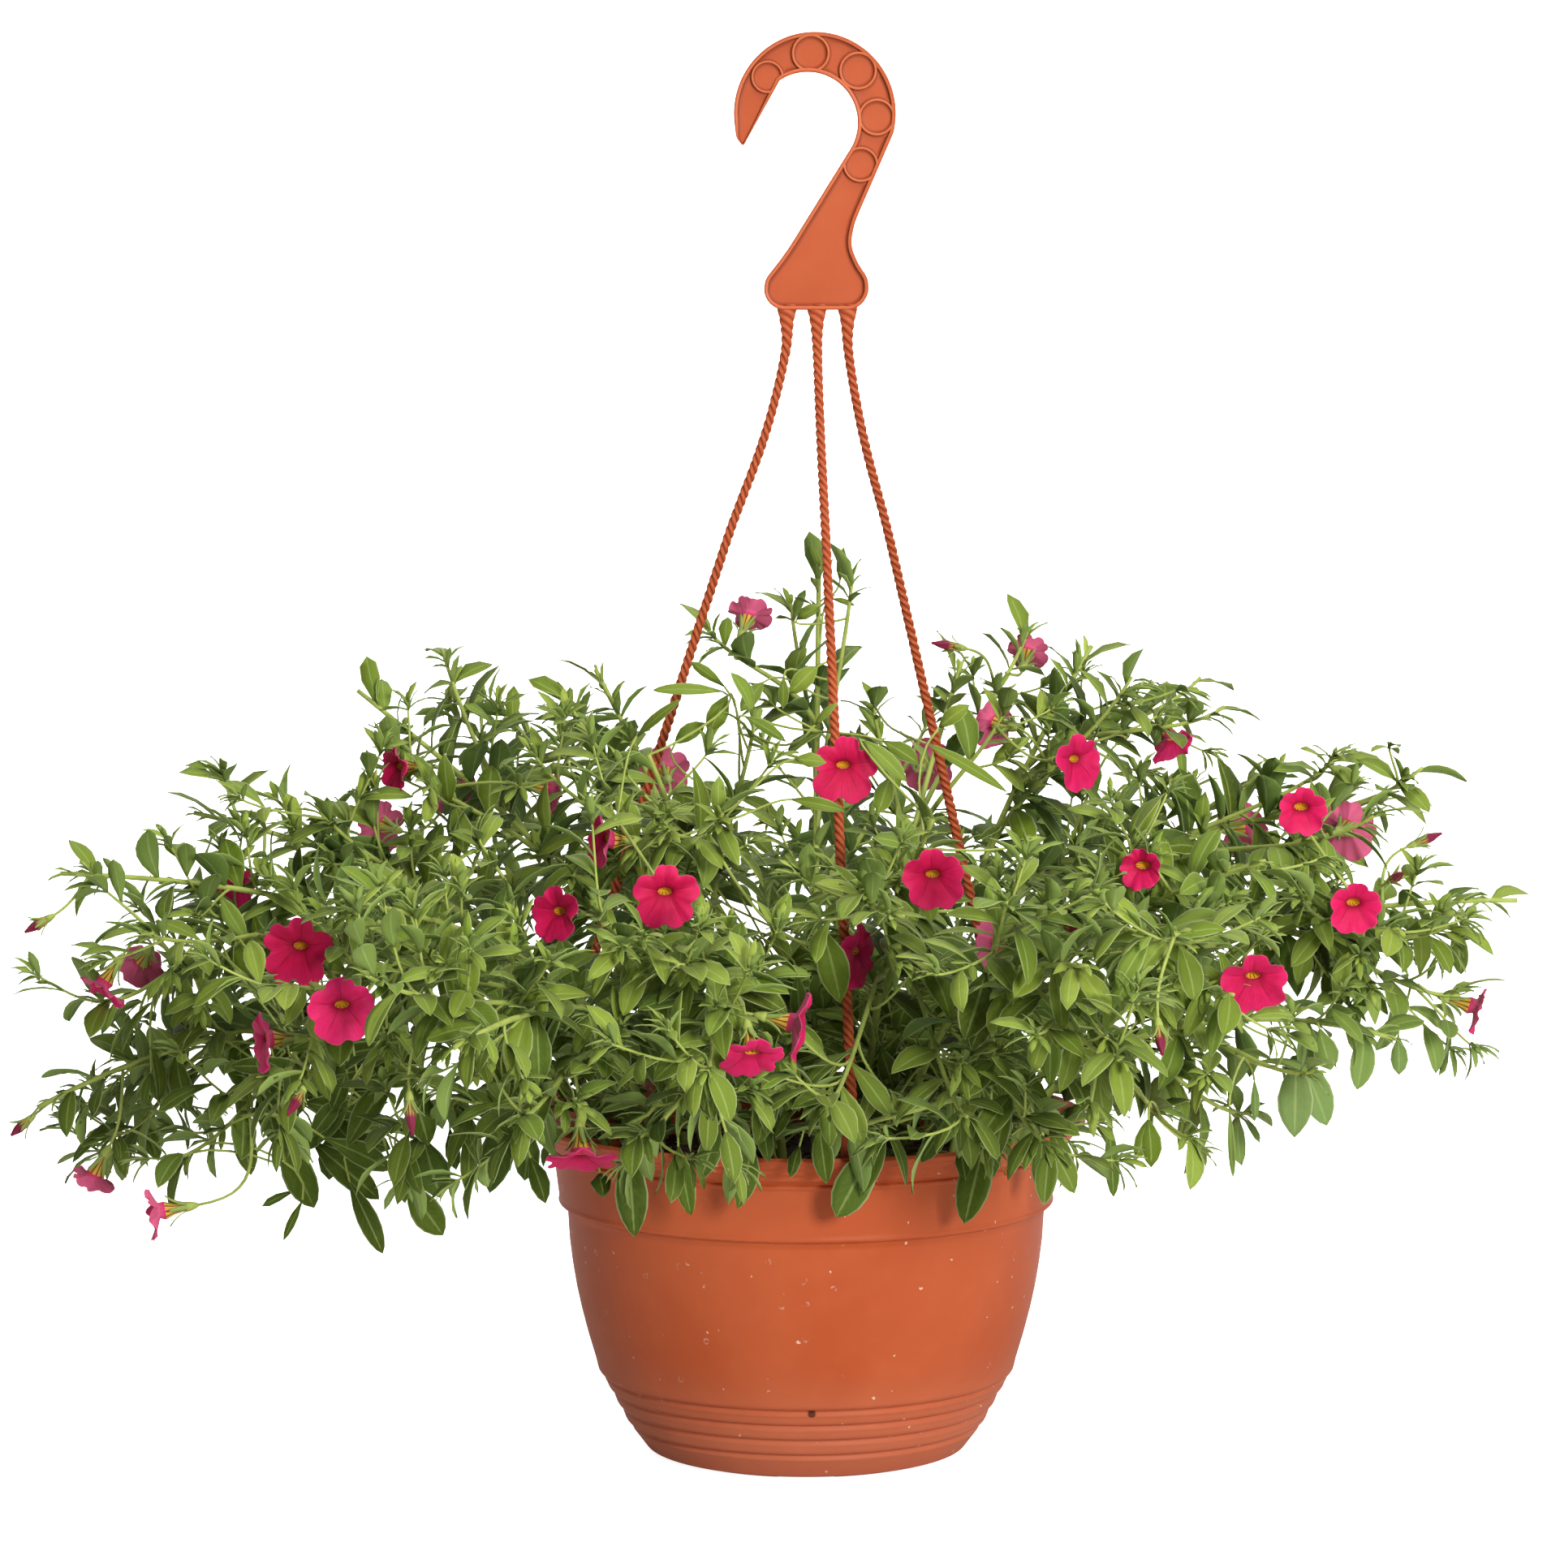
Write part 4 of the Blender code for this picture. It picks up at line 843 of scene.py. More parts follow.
def rope(route):
    """A laid rope of three lobes along the route, flat and wide at its root under the plate."""
    chain = smooth_route([route[0] + Vector((0, 0, 3.5))] + route, 1.0)
    sides = LOBES * len(LOBE)
    points, place = [], []
    walked = 0.0
    for k, here in enumerate(chain):
        along = (chain[min(k + 1, len(chain) - 1)] - chain[max(k - 1, 0)]).normalized()
        across = Vector((1, 0, 0)) - along * along.x
        across.normalize()
        deep = along.cross(across)
        walked += (here - chain[k - 1]).length if k else 0.0
        root = math.exp(-max(0.0, walked - 3.0) / 7.0)
        for i in range(sides):
            a = 2 * math.pi * (i / sides - walked / LAY)
            lobe = LOBE[i % len(LOBE)]
            edge = 1 + (lobe - 1) * (1 - root)
            radius = STRAND_R * (0.93 + 0.17 * k / len(chain))
            wide, thick = radius + 2.4 * root, radius - 0.1 * root
            points.append(here + across * math.cos(a) * wide * edge + deep * math.sin(a) * thick * lobe)
            # the marks paint a highlight on the lobes' crests and shade in the grooves between them
            place.append((0.5, max(0.0, 6 * (lobe - 1.05)), max(0.0, 3.4 * (1.03 - lobe))))
    return points, tube_faces(len(chain), sides), 0, place, walked


def soft_block(size, place, reach):
    """A box with rounded edges, as points and faces."""
    box_mesh = bmesh.new()
    bmesh.ops.create_cube(box_mesh, size=1.0, matrix=Matrix.Diagonal((*size, 1.0)))
    bmesh.ops.bevel(box_mesh, geom=box_mesh.edges[:], offset=reach, segments=3, affect="EDGES")
    box_mesh.transform(place)
    points = [v.co.copy() for v in box_mesh.verts]
    faces = [tuple(v.index for v in face.verts) for face in box_mesh.faces]
    box_mesh.free()
    return points, faces


for strand_index, clip_angle in enumerate(CLIP_ANGLES):
    *rope_mesh, rope_length = rope(strand_route(strand_index))
    hanger_shape.add(*rope_mesh)
    tab = round_about_z(clip_angle, CLIP_R, (CLIP_TOP_Z + CLIP_FOOT_Z) / 2)
    barb = round_about_z(clip_angle, CLIP_R + 0.2, CLIP_FOOT_Z + 2.2)
    hanger_shape.add(*soft_block((CLIP_WIDTH, CLIP_THICK, CLIP_TOP_Z - CLIP_FOOT_Z), tab, 0.7))
    hanger_shape.add(*soft_block((CLIP_WIDTH - 1.0, CLIP_THICK + 2.6, 3.0), barb, 0.6))
    print("strand", strand_index + 1, "is", round(rope_length), "mm long")
hook_hanger = hanger_shape.finish("hook_hanger", [HANGER_PLASTIC], ["hanger"], sharp=40)
print("hanger faces:", len(hook_hanger.data.polygons))

# %% [markdown]
# ## Where the plant grows
# The plant follows the same rules as its solids, step by step, so each fine leaf covers its solid one. A shoot is a
# cubic curve from the soil to a tip. Each new piece is tried against all that already stands, its thicket, and is
# moved a little until nothing touches. Random draws are seeded, so the plant is the same each time.

# %% Stems, flowers and buds: where each one stands
# name, where it leaves the soil, and the tips of its main shoot and of its side shoots
STEMS = [
    ("stem_01", (-85, 10), [(-330, -10, 259), (-286, -70, 240), (-268, 20, 243), (-307, -45, 206)]),
    ("stem_02", (-83, -18), [(-340, -20, 156), (-312, 45, 157), (-273, -75, 142), (-318, 30, 126)]),
    ("stem_03", (-78, 36), [(-280, 70, 278), (-248, 120, 280), (-219, 40, 281), (-252, 70, 225)]),
    ("stem_04", (-54, 50), [(-208, 110, 331), (-171, 140, 348), (-189, 60, 307), (-156, 180, 320)]),
    ("stem_05", (-30, 64), [(-98, 120, 340), (-108, 60, 330), (-144, 210, 310), (-123, 20, 311)]),
    ("stem_06", (4, 22), [(6, 90, 394), (-7, 130, 370), (21, 50, 387), (-45, 60, 363)]),
    ("stem_07", (30, 46), [(72, 100, 345), (104, 140, 356), (91, 50, 328), (30, 40, 331)]),
    ("stem_08", (54, 60), [(133, 120, 351), (148, 60, 341), (186, 150, 334), (193, 90, 325)]),
    ("stem_09", (74, 38), [(213, 100, 294), (243, 60, 305), (275, 20, 305), (251, -30, 288)]),
    ("stem_10", (87, 6), [(315, -10, 247), (280, -60, 242), (289, -20, 206), (257, -90, 239)]),
    ("stem_11", (84, -24), [(257, -50, 191), (217, -100, 184), (198, 0, 150), (167, -80, 152)]),
    ("stem_12", (60, -52), [(188, -180, 283), (148, -240, 261), (173, -210, 232), (138, -130, 285)]),
    ("stem_13", (38, -78), [(111, -260, 250), (80, -240, 274), (124, -270, 214), (98, -205, 170)]),
    ("stem_14", (24, -42), [(53, -130, 295), (24, -180, 271), (66, -200, 180), (9, -200, 186)]),
    ("stem_15", (-8, -85), [(-51, -250, 249), (-83, -220, 265), (-39, -260, 208), (-70, -205, 172)]),
    ("stem_16", (-28, -14), [(-68, -60, 316), (-80, -120, 294), (-22, -40, 331), (-35, -120, 297)]),
    ("stem_17", (-40, -72), [(-137, -290, 222), (-173, -270, 248), (-115, -240, 186), (-154, -230, 250)]),
    ("stem_18", (-62, -50), [(-190, -190, 268), (-211, -210, 236), (-220, -190, 194), (-174, -150, 155)]),
    ("stem_19", (-40, 82), [(-150, 270, 262), (-225, 200, 236), (-90, 260, 215), (-200, 240, 170)]),
    ("stem_20", (6, 86), [(20, 300, 268), (-40, 310, 225), (60, 220, 310), (70, 290, 185)]),
    ("stem_21", (48, 80), [(175, 250, 266), (245, 170, 250), (120, 280, 220), (215, 210, 175)]),
]
# middle of the face, compass direction from the front towards +X, tilt and radius
BLOOMS = [
    (16.5, -100, 314.5, 12, 4, 15.4), (-206, -196, 246, -12, 2, 15.5), (-57, -196, 271, 8, -5, 14.8),
    (53, -156, 274, 8, 2, 14.0), (-102, -206, 265, -38, 8, 12.5), (-81, -122, 288, -68, 4, 12.5),
    (-187, 50, 300, -58, 0, 11.5), (199, -128, 299, 2, 4, 11.0), (233, -106, 256, 8, -4, 12.2),
    (183, -192, 235, 8, -24, 15.5), (138, -166, 279, -18, 6, 9.5), (122, 14, 307, 42, 4, 14.5),
    (24, -104, 235, 62, -4, 15.5), (-27, -236, 207, 12, -48, 14.0), (-2, -206, 219, 84, -12, 16.0),
    (-92, -196, 161, 6, -66, 16.0), (-185, -236, 230, 14, -6, 14.5), (-224, -186, 210, -70, 0, 13.5),
    (-307, -60, 213, -58, -52, 11.5), (-297, 6, 216, -155, -32, 11.5), (-258, 36, 250, -22, 0, 11.5),
    (-316, -26, 124, -118, -58, 10.5), (-268, -122, 126, -78, -8, 12.0), (-162, 124, 281, 160, -42, 12.5),
    (-114, 64, 289, 112, -10, 11.0), (-26, 114, 367, 162, 38, 11.5), (105, 156, 347, 168, 28, 10.5),
    (85, 92, 318, -142, 6, 12.0), (166, 96, 309, 36, -44, 12.0), (245, 44, 274, 160, 0, 14.5),
    (294, -22, 202, 82, -16, 11.5), (79, -62, 235, -120, -6, 14.5),
    (-70, 240, 282, 190, 12, 14.5), (60, 262, 284, 168, 6, 15.0), (212, 200, 258, 142, 2, 15.0),
    (-204, 176, 262, -142, 6, 14.0),
]
# tip of the stalk, compass direction, tilt and length
BUDS = [
    (-204, -206, 193, -30, -40, 15), (-334, -16, 240, -80, -30, 13), (-346, 0, 148, -75, -40, 12),
    (72, 92, 352, -60, 10, 17), (272, 24, 268, 100, 20, 15), (252, -66, 262, 20, 20, 14),
    (-62, -204, 249, 5, -75, 12), (108, -44, 248, 40, -10, 15), (140, -250, 226, 10, -60, 14),
    (-158, -246, 196, 20, -75, 16), (-10, -60, 290, -20, 10, 12), (150, 190, 300, 150, 20, 14),
]
print(len(STEMS), "stems,", len(BLOOMS), "open flowers,", len(BUDS), "buds and spent flowers")

# %% [markdown]
# Leaves on a living plant push each other aside. A physics simulation could do that, but it would be slow and
# never twice the same. A search tree for each piece tells quickly whether a new one would touch, and where it
# would, the next small move is tried.

# %% Thicket: keeps new pieces clear of old ones


class Thicket:
    """All that has been placed, so that each new piece can be grown clear of it."""

    def __init__(self, room):
        self.owners, self.trees = [], []
        self.middles = np.zeros((room, 3))
        self.reaches = np.zeros(room)

    def ball(self, points):
        """Middle and radius of a ball round the points, for a quick first test."""
        middle = sum(points, Vector()) / len(points)
        return middle, max((p - middle).length for p in points)

    def add(self, owner, points, faces):
        """Takes a piece in, under its owner's name."""
        middle, reach = self.ball(points)
        k = len(self.owners)
        self.middles[k], self.reaches[k] = middle, reach
        self.owners.append(owner)
        self.trees.append(BVHTree.FromPolygons(points, faces))

    def free(self, points, faces, passing=()):
        """True if the piece touches nothing but what the owners in passing have."""
        middle, reach = self.ball(points)
        k = len(self.owners)
        away = np.linalg.norm(self.middles[:k] - np.array(middle), axis=1)
        tree = None
        for i in np.nonzero(away <= self.reaches[:k] + reach)[0]:
            if self.owners[i] in passing:
                continue
            tree = tree or BVHTree.FromPolygons(points, faces)
            if tree.overlap(self.trees[i]):
                return False
        return True


thicket = Thicket(32768)
for made_name in ("pot", "hanger"):
    solid = nodes[made_name].data
    thicket.add(made_name, [v.co / MM for v in solid.vertices], [tuple(p.vertices) for p in solid.polygons])
print("the plant grows clear of", thicket.owners)

# %% [markdown]
# A shoot is a smooth curve, and a prism with few sides is enough to stand for it while places are being found.
# Few faces keep the search quick, and the finished shoot is drawn later with more.

# %% Routes and the prisms that follow them


def sweep(ring, route):
    """Rings of a prism that carries the first ring along a route, with a mitre at each bend."""
    rings = [list(ring)]
    for k in range(1, len(route)):
        along = (route[k] - route[k - 1]).normalized()
        after = (route[k + 1] - route[k]).normalized() if k < len(route) - 1 else along
        plane = (along + after).normalized()
        rings.append([p + along * ((route[k] - p).dot(plane) / along.dot(plane)) for p in rings[-1]])
    return rings


def prism(route, radius, sides):
    """Points and faces of a capped prism along a route of points."""
    along = (route[1] - route[0]).normalized()
    side = along.orthogonal().normalized()
    other = along.cross(side)
    angles = [2 * math.pi * (i + 0.5) / sides for i in range(sides)]
    first = [route[0] + (side * math.cos(a) + other * math.sin(a)) * radius for a in angles]
    return [p for ring in sweep(first, route) for p in ring], tube_faces(len(route), sides)


def with_stalk(points, faces, ring, route):
    """Adds a stalk to a flower: it carries the last ring of its open end along the route."""
    rings = sweep([points[i] for i in ring], route)
    points, faces, before = list(points), list(faces), list(ring)
    for places in rings[1:]:
        now = list(range(len(points), len(points) + len(ring)))
        points += places
        for i in range(len(ring)):
            j = (i + 1) % len(ring)
            faces.append((before[j], before[i], now[i], now[j]))
        before = now
    return points, faces + [tuple(reversed(before))]


def bezier(a, b, c, d, count):
    """Points along a cubic curve with those four control points."""
    steps = [i / (count - 1) for i in range(count)]
    return [a * (1 - t) ** 3 + b * 3 * t * (1 - t) ** 2 + c * 3 * t * t * (1 - t) + d * t ** 3 for t in steps]


def at(route, share):
    """The point and direction at a share of a route's length, counted in its stations."""
    place = min(max(share, 0.0), 1.0) * (len(route) - 1)
    k = min(int(place), len(route) - 2)
    step = route[k + 1] - route[k]
    return route[k] + step * (place - k), step.normalized()


def sidesteps():
    """Small moves that are tried in turn where a piece would touch another."""
    yield Vector((0, 0, 0))
    for step in (6, 11, 17, 24, 32):
        for k in range(6):
            a = math.pi / 3 * k + step
            yield Vector((math.cos(a), math.sin(a), 0.6 * math.cos(3 * a))) * step


print("small moves that a piece may try:", len(list(sidesteps())))

# %% [markdown]
# Each stem leaves the peat almost upright and leans out over the rim, and its side shoots turn up to the light.
# Four control points hold such a shape, so the fine shoot and its solid follow one curve.

# %% Shoots
SOIL_TOP = 127.0
STEM_DEPTH = 14.0
STEM_SIDES = 4
SIDE_SIDES = 3
MAIN_R = 1.7
SIDE_R = 1.15
SHOOT_CLEAR = 0.6
MAIN_STATIONS = 6


def main_route(foot, tip):
    """Up out of the soil, over the rim and out to the tip."""
    flat = Vector((tip.x - foot.x, tip.y - foot.y, 0))
    rise = tip.z - foot.z
    length = (tip - foot).length
    heading = (flat + Vector((0, 0, 0.55 * rise))).normalized()
    droop = max(0.0, 1.0 - rise / 220) * 0.3 * length
    second = foot + Vector((0, 0, 0.42 * length)) + flat * 0.06
    third = tip - heading * 0.38 * length + Vector((0, 0, droop))
    return second, third


def side_route(start, along, tip):
    """Leaves the parent shoot at an acute angle and turns up to its own tip."""
    length = (tip - start).length
    out = (tip - start).normalized()
    leave = (along * 0.7 + out * 0.6 + Vector((0, 0, 0.15))).normalized()
    heading = (out + Vector((0, 0, 0.35))).normalized()
    return start + leave * 0.36 * length, tip - heading * 0.34 * length


def side_shoot(name, parent, share, tip):
    """The four control points of a clear shoot from near that share of its parent."""
    for lower in (0.0, 0.1, -0.1, 0.2):
        start, along = at(parent, share - lower)
        second, third = side_route(start, along, tip)
        for move in sidesteps():
            curve = (start, second + move * 0.4, third + move, tip + move * 0.3)
            if thicket.free(*prism(bezier(*curve, 4), SIDE_R + SHOOT_CLEAR, SIDE_SIDES), passing=(name + "/0",)):
                return curve
    return None


def grow_shoots():
    """{stem: [(owner, coarse route, radius, curve)]}: the curve is what the fine shoot follows."""
    grown = {}
    for name, (x, y), tips in STEMS:
        foot, tip = Vector((x, y, SOIL_TOP - STEM_DEPTH)), Vector(tips[0])
        second, third = main_route(foot, tip)
        for move in sidesteps():
            curve = (foot, second + move * 0.5, third + move, tip)
            route = bezier(*curve, MAIN_STATIONS)
            if thicket.free(*prism(route, MAIN_R + SHOOT_CLEAR, STEM_SIDES)):
                break
        thicket.add(name + "/0", *prism(route, MAIN_R, STEM_SIDES))
        grown[name] = [(name + "/0", route, MAIN_R, curve)]
    for name, _, tips in STEMS:
        parent = grown[name][0][1]
        for k, place in enumerate(tips[1:], 1):
            tip = Vector(place)
            near = min(range(40), key=lambda i: (at(parent, i / 39)[0] - tip).length) / 39
            share = min(max(near - 0.3, 0.3), 0.72) + 0.05 * (k - 2)
            curve = side_shoot(name, parent, share, tip)
            if curve is None:
                continue
            route = bezier(*curve, 4)
            thicket.add(f"{name}/{k}", *prism(route, SIDE_R, SIDE_SIDES))
            grown[name].append((f"{name}/{k}", route, SIDE_R, curve))
    return grown


def all_shoots():
    """Each shoot with the number of its stem, its own number, its stem's name, its owner, its route and its curve."""
    for stem, (name, group) in enumerate(shoots.items()):
        for shoot, (owner, route, _, curve) in enumerate(group):
            yield stem, shoot, name, owner, route, curve


shoots = grow_shoots()
print("shoots:", sum(len(group) for group in shoots.values()))

# %% [markdown]
# Calibrachoa flowers turn to the light on stalks of a few centimetres. Their coarse forms are made here only to
# find a clear place for each, exactly as the solids were placed. The fine flowers then take those places.

# %% Coarse flowers, as the solids have them
STALK_R = 0.75
TUBE_LENGTH = 15.0
CALYX_DEPTH = 4.6


def facing(azimuth, tilt):
    """Unit vector of a compass direction from the front towards +X, tilted up."""
    a, e = math.radians(azimuth), math.radians(tilt)
    return Vector((math.sin(a) * math.cos(e), -math.cos(a) * math.cos(e), math.sin(e)))


def frame_of(origin, direction):
    """Matrix with local +Z along direction."""
    return Matrix.Translation(origin) @ direction.to_track_quat("Z", "Y").to_matrix().to_4x4()


def coarse_bloom(radius, extra=0.0):
    """The flower's solid: five fused petals round a throat, on a narrow tube."""
    thick = 0.75 + 2 * extra
    face = TUBE_LENGTH
    points = [(0, 0, face - 7.0)]
    throat = [(2 * math.pi * i / 5, 3.0 + extra, face - 1.6) for i in range(5)]
    rim = []
    for i in range(5):
        for turn, share, rise in ((-36, 0.84, 0.9), (-15, 1.0, 0.1), (15, 1.0, 0.1)):
            rim.append((2 * math.pi * i / 5 + math.radians(turn), (radius + extra) * share, face + rise))
    back = [(a, 4.0 + extra, face - 2.6 - extra) for a, *_ in throat]
    seat = [(a, 1.3 + extra, -extra) for a, *_ in throat]
    under = [(a, r, z - thick) for a, r, z in rim]
    for ring in (throat, rim, under, back, seat):
        points += [(r * math.cos(a), r * math.sin(a), z) for a, r, z in ring]
    # where the points of each ring begin
    t, r, u, b, s = 1, 6, 21, 36, 41
    faces = [(s, s + 2, s + 1), (s, s + 3, s + 2), (s, s + 4, s + 3)]
    for i in range(5):
        j = (i + 1) % 5
        faces += [(0, t + i, t + j)]
        for inner, outer, flip in ((t, r, False), (b, u, True)):
            first, second, third, following = (outer + (3 * i + k) % 15 for k in (1, 2, 3, 4))
            fan = [(inner + i, first, second), (inner + i, second, third), (inner + i, third, inner + j),
                   (inner + j, third, following)]
            faces += [tuple(reversed(f)) for f in fan] if flip else fan
        faces += [(b + i, s + i, s + j), (b + i, s + j, b + j)]
    for i in range(15):
        j = (i + 1) % 15
        faces += [(r + i, u + i, u + j), (r + i, u + j, r + j)]
    return points, faces


def coarse_calyx():
    """The calyx's solid: a small cup with five pointed sepals; its last three points take the stalk."""
    points = [(0, 0, -3.0)]
    for i in range(5):
        a = 2 * math.pi * i / 5
        b = a + math.pi / 5
        points += [(5.2 * math.cos(a), 5.2 * math.sin(a), 6.5), (2.7 * math.cos(b), 2.7 * math.sin(b), 0.5)]
    angles = [2 * math.pi * i / 3 for i in range(3)]
    points += [(STALK_R * math.cos(a), STALK_R * math.sin(a), -CALYX_DEPTH) for a in angles]
    faces = [(0, 1 + i, 1 + (i + 1) % 10) for i in range(10)]
    spread = [0, 0, 0, 0, 1, 1, 1, 2, 2, 2]
    for i in range(10):
        here, following = 11 + spread[i], 11 + spread[(i + 1) % 10]
        faces.append((1 + i, here, 1 + (i + 1) % 10))
        if here != following:
            faces.append((here, following, 1 + (i + 1) % 10))
    return points, faces


def coarse_bud(length):
    """The bud's solid: a slim spindle; its last three points take the stalk."""
    points = []
    for r, z in ((1.3, 0.92 * length), (2.1, 0.45 * length), (STALK_R, -1.0)):
        points += [(r * math.cos(2 * math.pi * i / 3), r * math.sin(2 * math.pi * i / 3), z) for i in range(3)]
    faces = [(0, 1, 2)]
    for k in (0, 3):
        for i in range(3):
            j = (i + 1) % 3
            faces += [(k + i, k + 3 + i, k + 3 + j), (k + i, k + 3 + j, k + j)]
    return points, faces


print("a coarse flower has", len(coarse_bloom(15)[1]), "faces")

# %% [markdown]
# A flower's stalk runs straight back from its calyx, then takes one bend down to its shoot. Nearby places on
# the shoots are tried in turn, and the first stalk that touches nothing is kept.

# %% Flowers and buds on their stalks
STALK_BEND = math.radians(85)
STALK_SHARES = (0.45, 0.6, 0.7, 0.8, 0.88, 0.96)
STALK_REACH = (9, 75)
STALK_TRIES = 24


def stalk_route(start, direction, target):
    """A flower stalk: straight back from the calyx, then one bend down to its shoot."""
    elbow = start - direction * 0.36 * (target - start).length
    return [start, elbow, target]


def stalk_sites(start, direction):
    """Places on the shoots, the nearest first, that a flower stalk may grow from."""
    sites = []
    for name, group in shoots.items():
        for owner, route, *_ in group:
            for share in STALK_SHARES:
                place = at(route, share)[0]
                away = (start - place).length
                turn = direction.dot((start - place).normalized())
                if STALK_REACH[0] < away < STALK_REACH[1]:
                    sites.append((away * (1.5 - 0.5 * turn), name, owner, place))
    return sorted(sites, key=lambda site: site[0])


def stalk_to_shoot(base, direction):
    """The first clear stalk from base to a shoot: its stem's name and route."""
    for _, name, owner, place in stalk_sites(base, direction)[:STALK_TRIES]:
        route = stalk_route(base, direction, place)
        bend = (route[1] - route[0]).angle(route[2] - route[1])
        if bend < STALK_BEND and thicket.free(*prism(route, STALK_R + 0.55, 6), passing=(owner,)):
            return name, route
    return None


def place_blooms():
    """[(number, matrix, radius, stem, stalk route)] of the open flowers."""
    placed = []
    for index, (x, y, z, azimuth, tilt, radius) in enumerate(BLOOMS, 1):
        direction = facing(azimuth, tilt)
        fat, faces = coarse_bloom(radius, 0.45)
        cup, cup_faces = coarse_calyx()
        for move in sidesteps():
            seat = Vector((x, y, z)) - direction * TUBE_LENGTH + move
            place = frame_of(seat, direction)
            if not thicket.free(moved(place, fat), faces) or not thicket.free(moved(place, cup), cup_faces):
                continue
            found = stalk_to_shoot(seat - direction * CALYX_DEPTH, direction)
            if found:
                break
        name, route = found
        points, faces = coarse_bloom(radius)
        thicket.add("bloom", moved(place, points), faces)
        thicket.add(name + "/flower", *with_stalk(moved(place, cup), cup_faces, (11, 12, 13), route))
        placed.append((index, place, radius, name, route))
    return placed


def place_buds():
    """[(matrix, length, stem, stalk route)] of the buds and spent flowers."""
    placed = []
    for x, y, z, azimuth, tilt, length in BUDS:
        direction = facing(azimuth, tilt)
        points, faces = coarse_bud(length)
        for move in sidesteps():
            place = frame_of(Vector((x, y, z)) + move, direction)
            found = stalk_to_shoot(place @ Vector((0, 0, -1.0)), direction)
            if found and thicket.free(moved(place, points), faces):
                break
        name, route = found
        thicket.add(name + "/flower", *with_stalk(moved(place, points), faces, (6, 7, 8), route))
        placed.append((place, length, name, route))
    return placed


blooms = place_blooms()
buds = place_buds()
print("open flowers:", len(blooms), "buds and spent flowers:", len(buds))

# %% [markdown]
# Calibrachoa leaves grow one at a time round the shoot, each turned by the same angle. That angle, 137.5 degrees,
# spreads them so evenly that no leaf shades the one below. Scattering them at random would look untidy.

# %% Leaves that the solids have
BLADE_THICK = 0.65
LEAF_CLEAR = 0.5
MAIN_LEAVES = 4
SIDE_LEAVES = 3
LEAF_TURN = 137.5
LEAF_STEPS = (0, 40, -40, 80, -80, 125, -125, 180)
# length and width of a leaf, then rows of its outline: share of its length and of its width
LEAF_BIG = (37.0, 14.5)
LEAF_SMALL = (26.0, 9.5)
LONG_ROWS = [(0.38, 0.82), (0.68, 0.98)]
SHORT_ROWS = [(0.52, 1.0)]


def coarse_leaf(root, direction, normal, length, width, rows, extra=0.0):
    """A thin arched blade from its root, as the solids have it."""
    side = direction.cross(normal).normalized()
    top = []
    for t, w in [(0.0, 0.0)] + rows + [(1.0, 0.0)]:
        rise = normal * length * (0.16 * t - 0.34 * t * t)
        middle = root + direction * (length + extra) * t * (1 - 0.06 * t) + rise
        half = side * (w * width / 2 + extra)
        top += [middle] if w == 0 else [middle - half, middle + half]
    lift = normal * (BLADE_THICK / 2 + extra)
    count = len(top)
    points = [p + lift for p in top] + [p - lift for p in top]
    faces = [(0, 2, 1)]
    for k in range(1, count - 3, 2):
        faces.append((k, k + 1, k + 3, k + 2))
    faces.append((count - 3, count - 2, count - 1))
    faces += [tuple(count + i for i in reversed(face)) for face in faces]
    edge = [0] + list(range(1, count - 1, 2)) + [count - 1] + list(range(count - 2, 1, -2))
    for a, b in zip(edge, edge[1:] + edge[:1]):
        faces.append((a, b, b + count, a + count))
    return points, faces


def leaf_pose(along, turn, spread, roll):
    """Direction and upper side of a blade that leaves a shoot at that angle."""
    first = along.orthogonal().normalized()
    second = along.cross(first)
    out = first * math.cos(turn) + second * math.sin(turn)
    direction = (along * math.cos(spread) + out * math.sin(spread)).normalized()
    up = Vector((0, 0, 1)) + along * 0.3
    normal = up - direction * up.dot(direction)
    if normal.length < 0.2:
        normal = -out
    normal = Matrix.Rotation(roll, 3, direction) @ normal.normalized()
    return direction, (normal - direction * normal.dot(direction)).normalized()


def place_leaves():
    """{stem: [(root, direction, normal, length, width, young, seed)]} of the leaves in the solids."""
    placed = {name: [] for name in shoots}
    for stem, shoot, name, owner, route, curve in all_shoots():
        count, lowest = (SIDE_LEAVES, 0.3) if shoot else (MAIN_LEAVES, 0.46)
        for k in range(count):
            share = lowest + (0.96 - lowest) * k / (count - 1)
            draw = random.Random(stem * 10000 + shoot * 100 + k)
            root, along = at(route, share)
            turn = math.radians(LEAF_TURN * k + 50 * shoot + 31 * stem)
            age = (1 - share) / (1 - lowest)
            length = LEAF_SMALL[0] + (LEAF_BIG[0] - LEAF_SMALL[0]) * age * draw.uniform(0.75, 1.1)
            width = LEAF_SMALL[1] + (LEAF_BIG[1] - LEAF_SMALL[1]) * age * draw.uniform(0.8, 1.1)
            spread = math.radians(32 + 34 * age + draw.uniform(-8, 8))
            roll = math.radians(draw.uniform(-25, 25))
            rows = LONG_ROWS if age > 0.6 else SHORT_ROWS
            for step in LEAF_STEPS:
                direction, normal = leaf_pose(along, turn + math.radians(step), spread, roll)
                fat, faces = coarse_leaf(root, direction, normal, length, width, rows, LEAF_CLEAR)
                if thicket.free(fat, faces, passing=(owner, name + "/root")):
                    break
            else:
                continue
            far = root + direction * 0.25 * length
            thicket.add(name + "/root", *coarse_leaf(root, direction, normal, length, width, rows))
            thicket.add(name + "/leaf", *coarse_leaf(far, direction, normal, 0.75 * length, width, rows))
            placed[name].append((root, direction, normal, length, width, 0.55 * (1 - age), draw.random()))
    return placed


leaves = place_leaves()
print("leaves that the solids have:", sum(len(group) for group in leaves.values()))

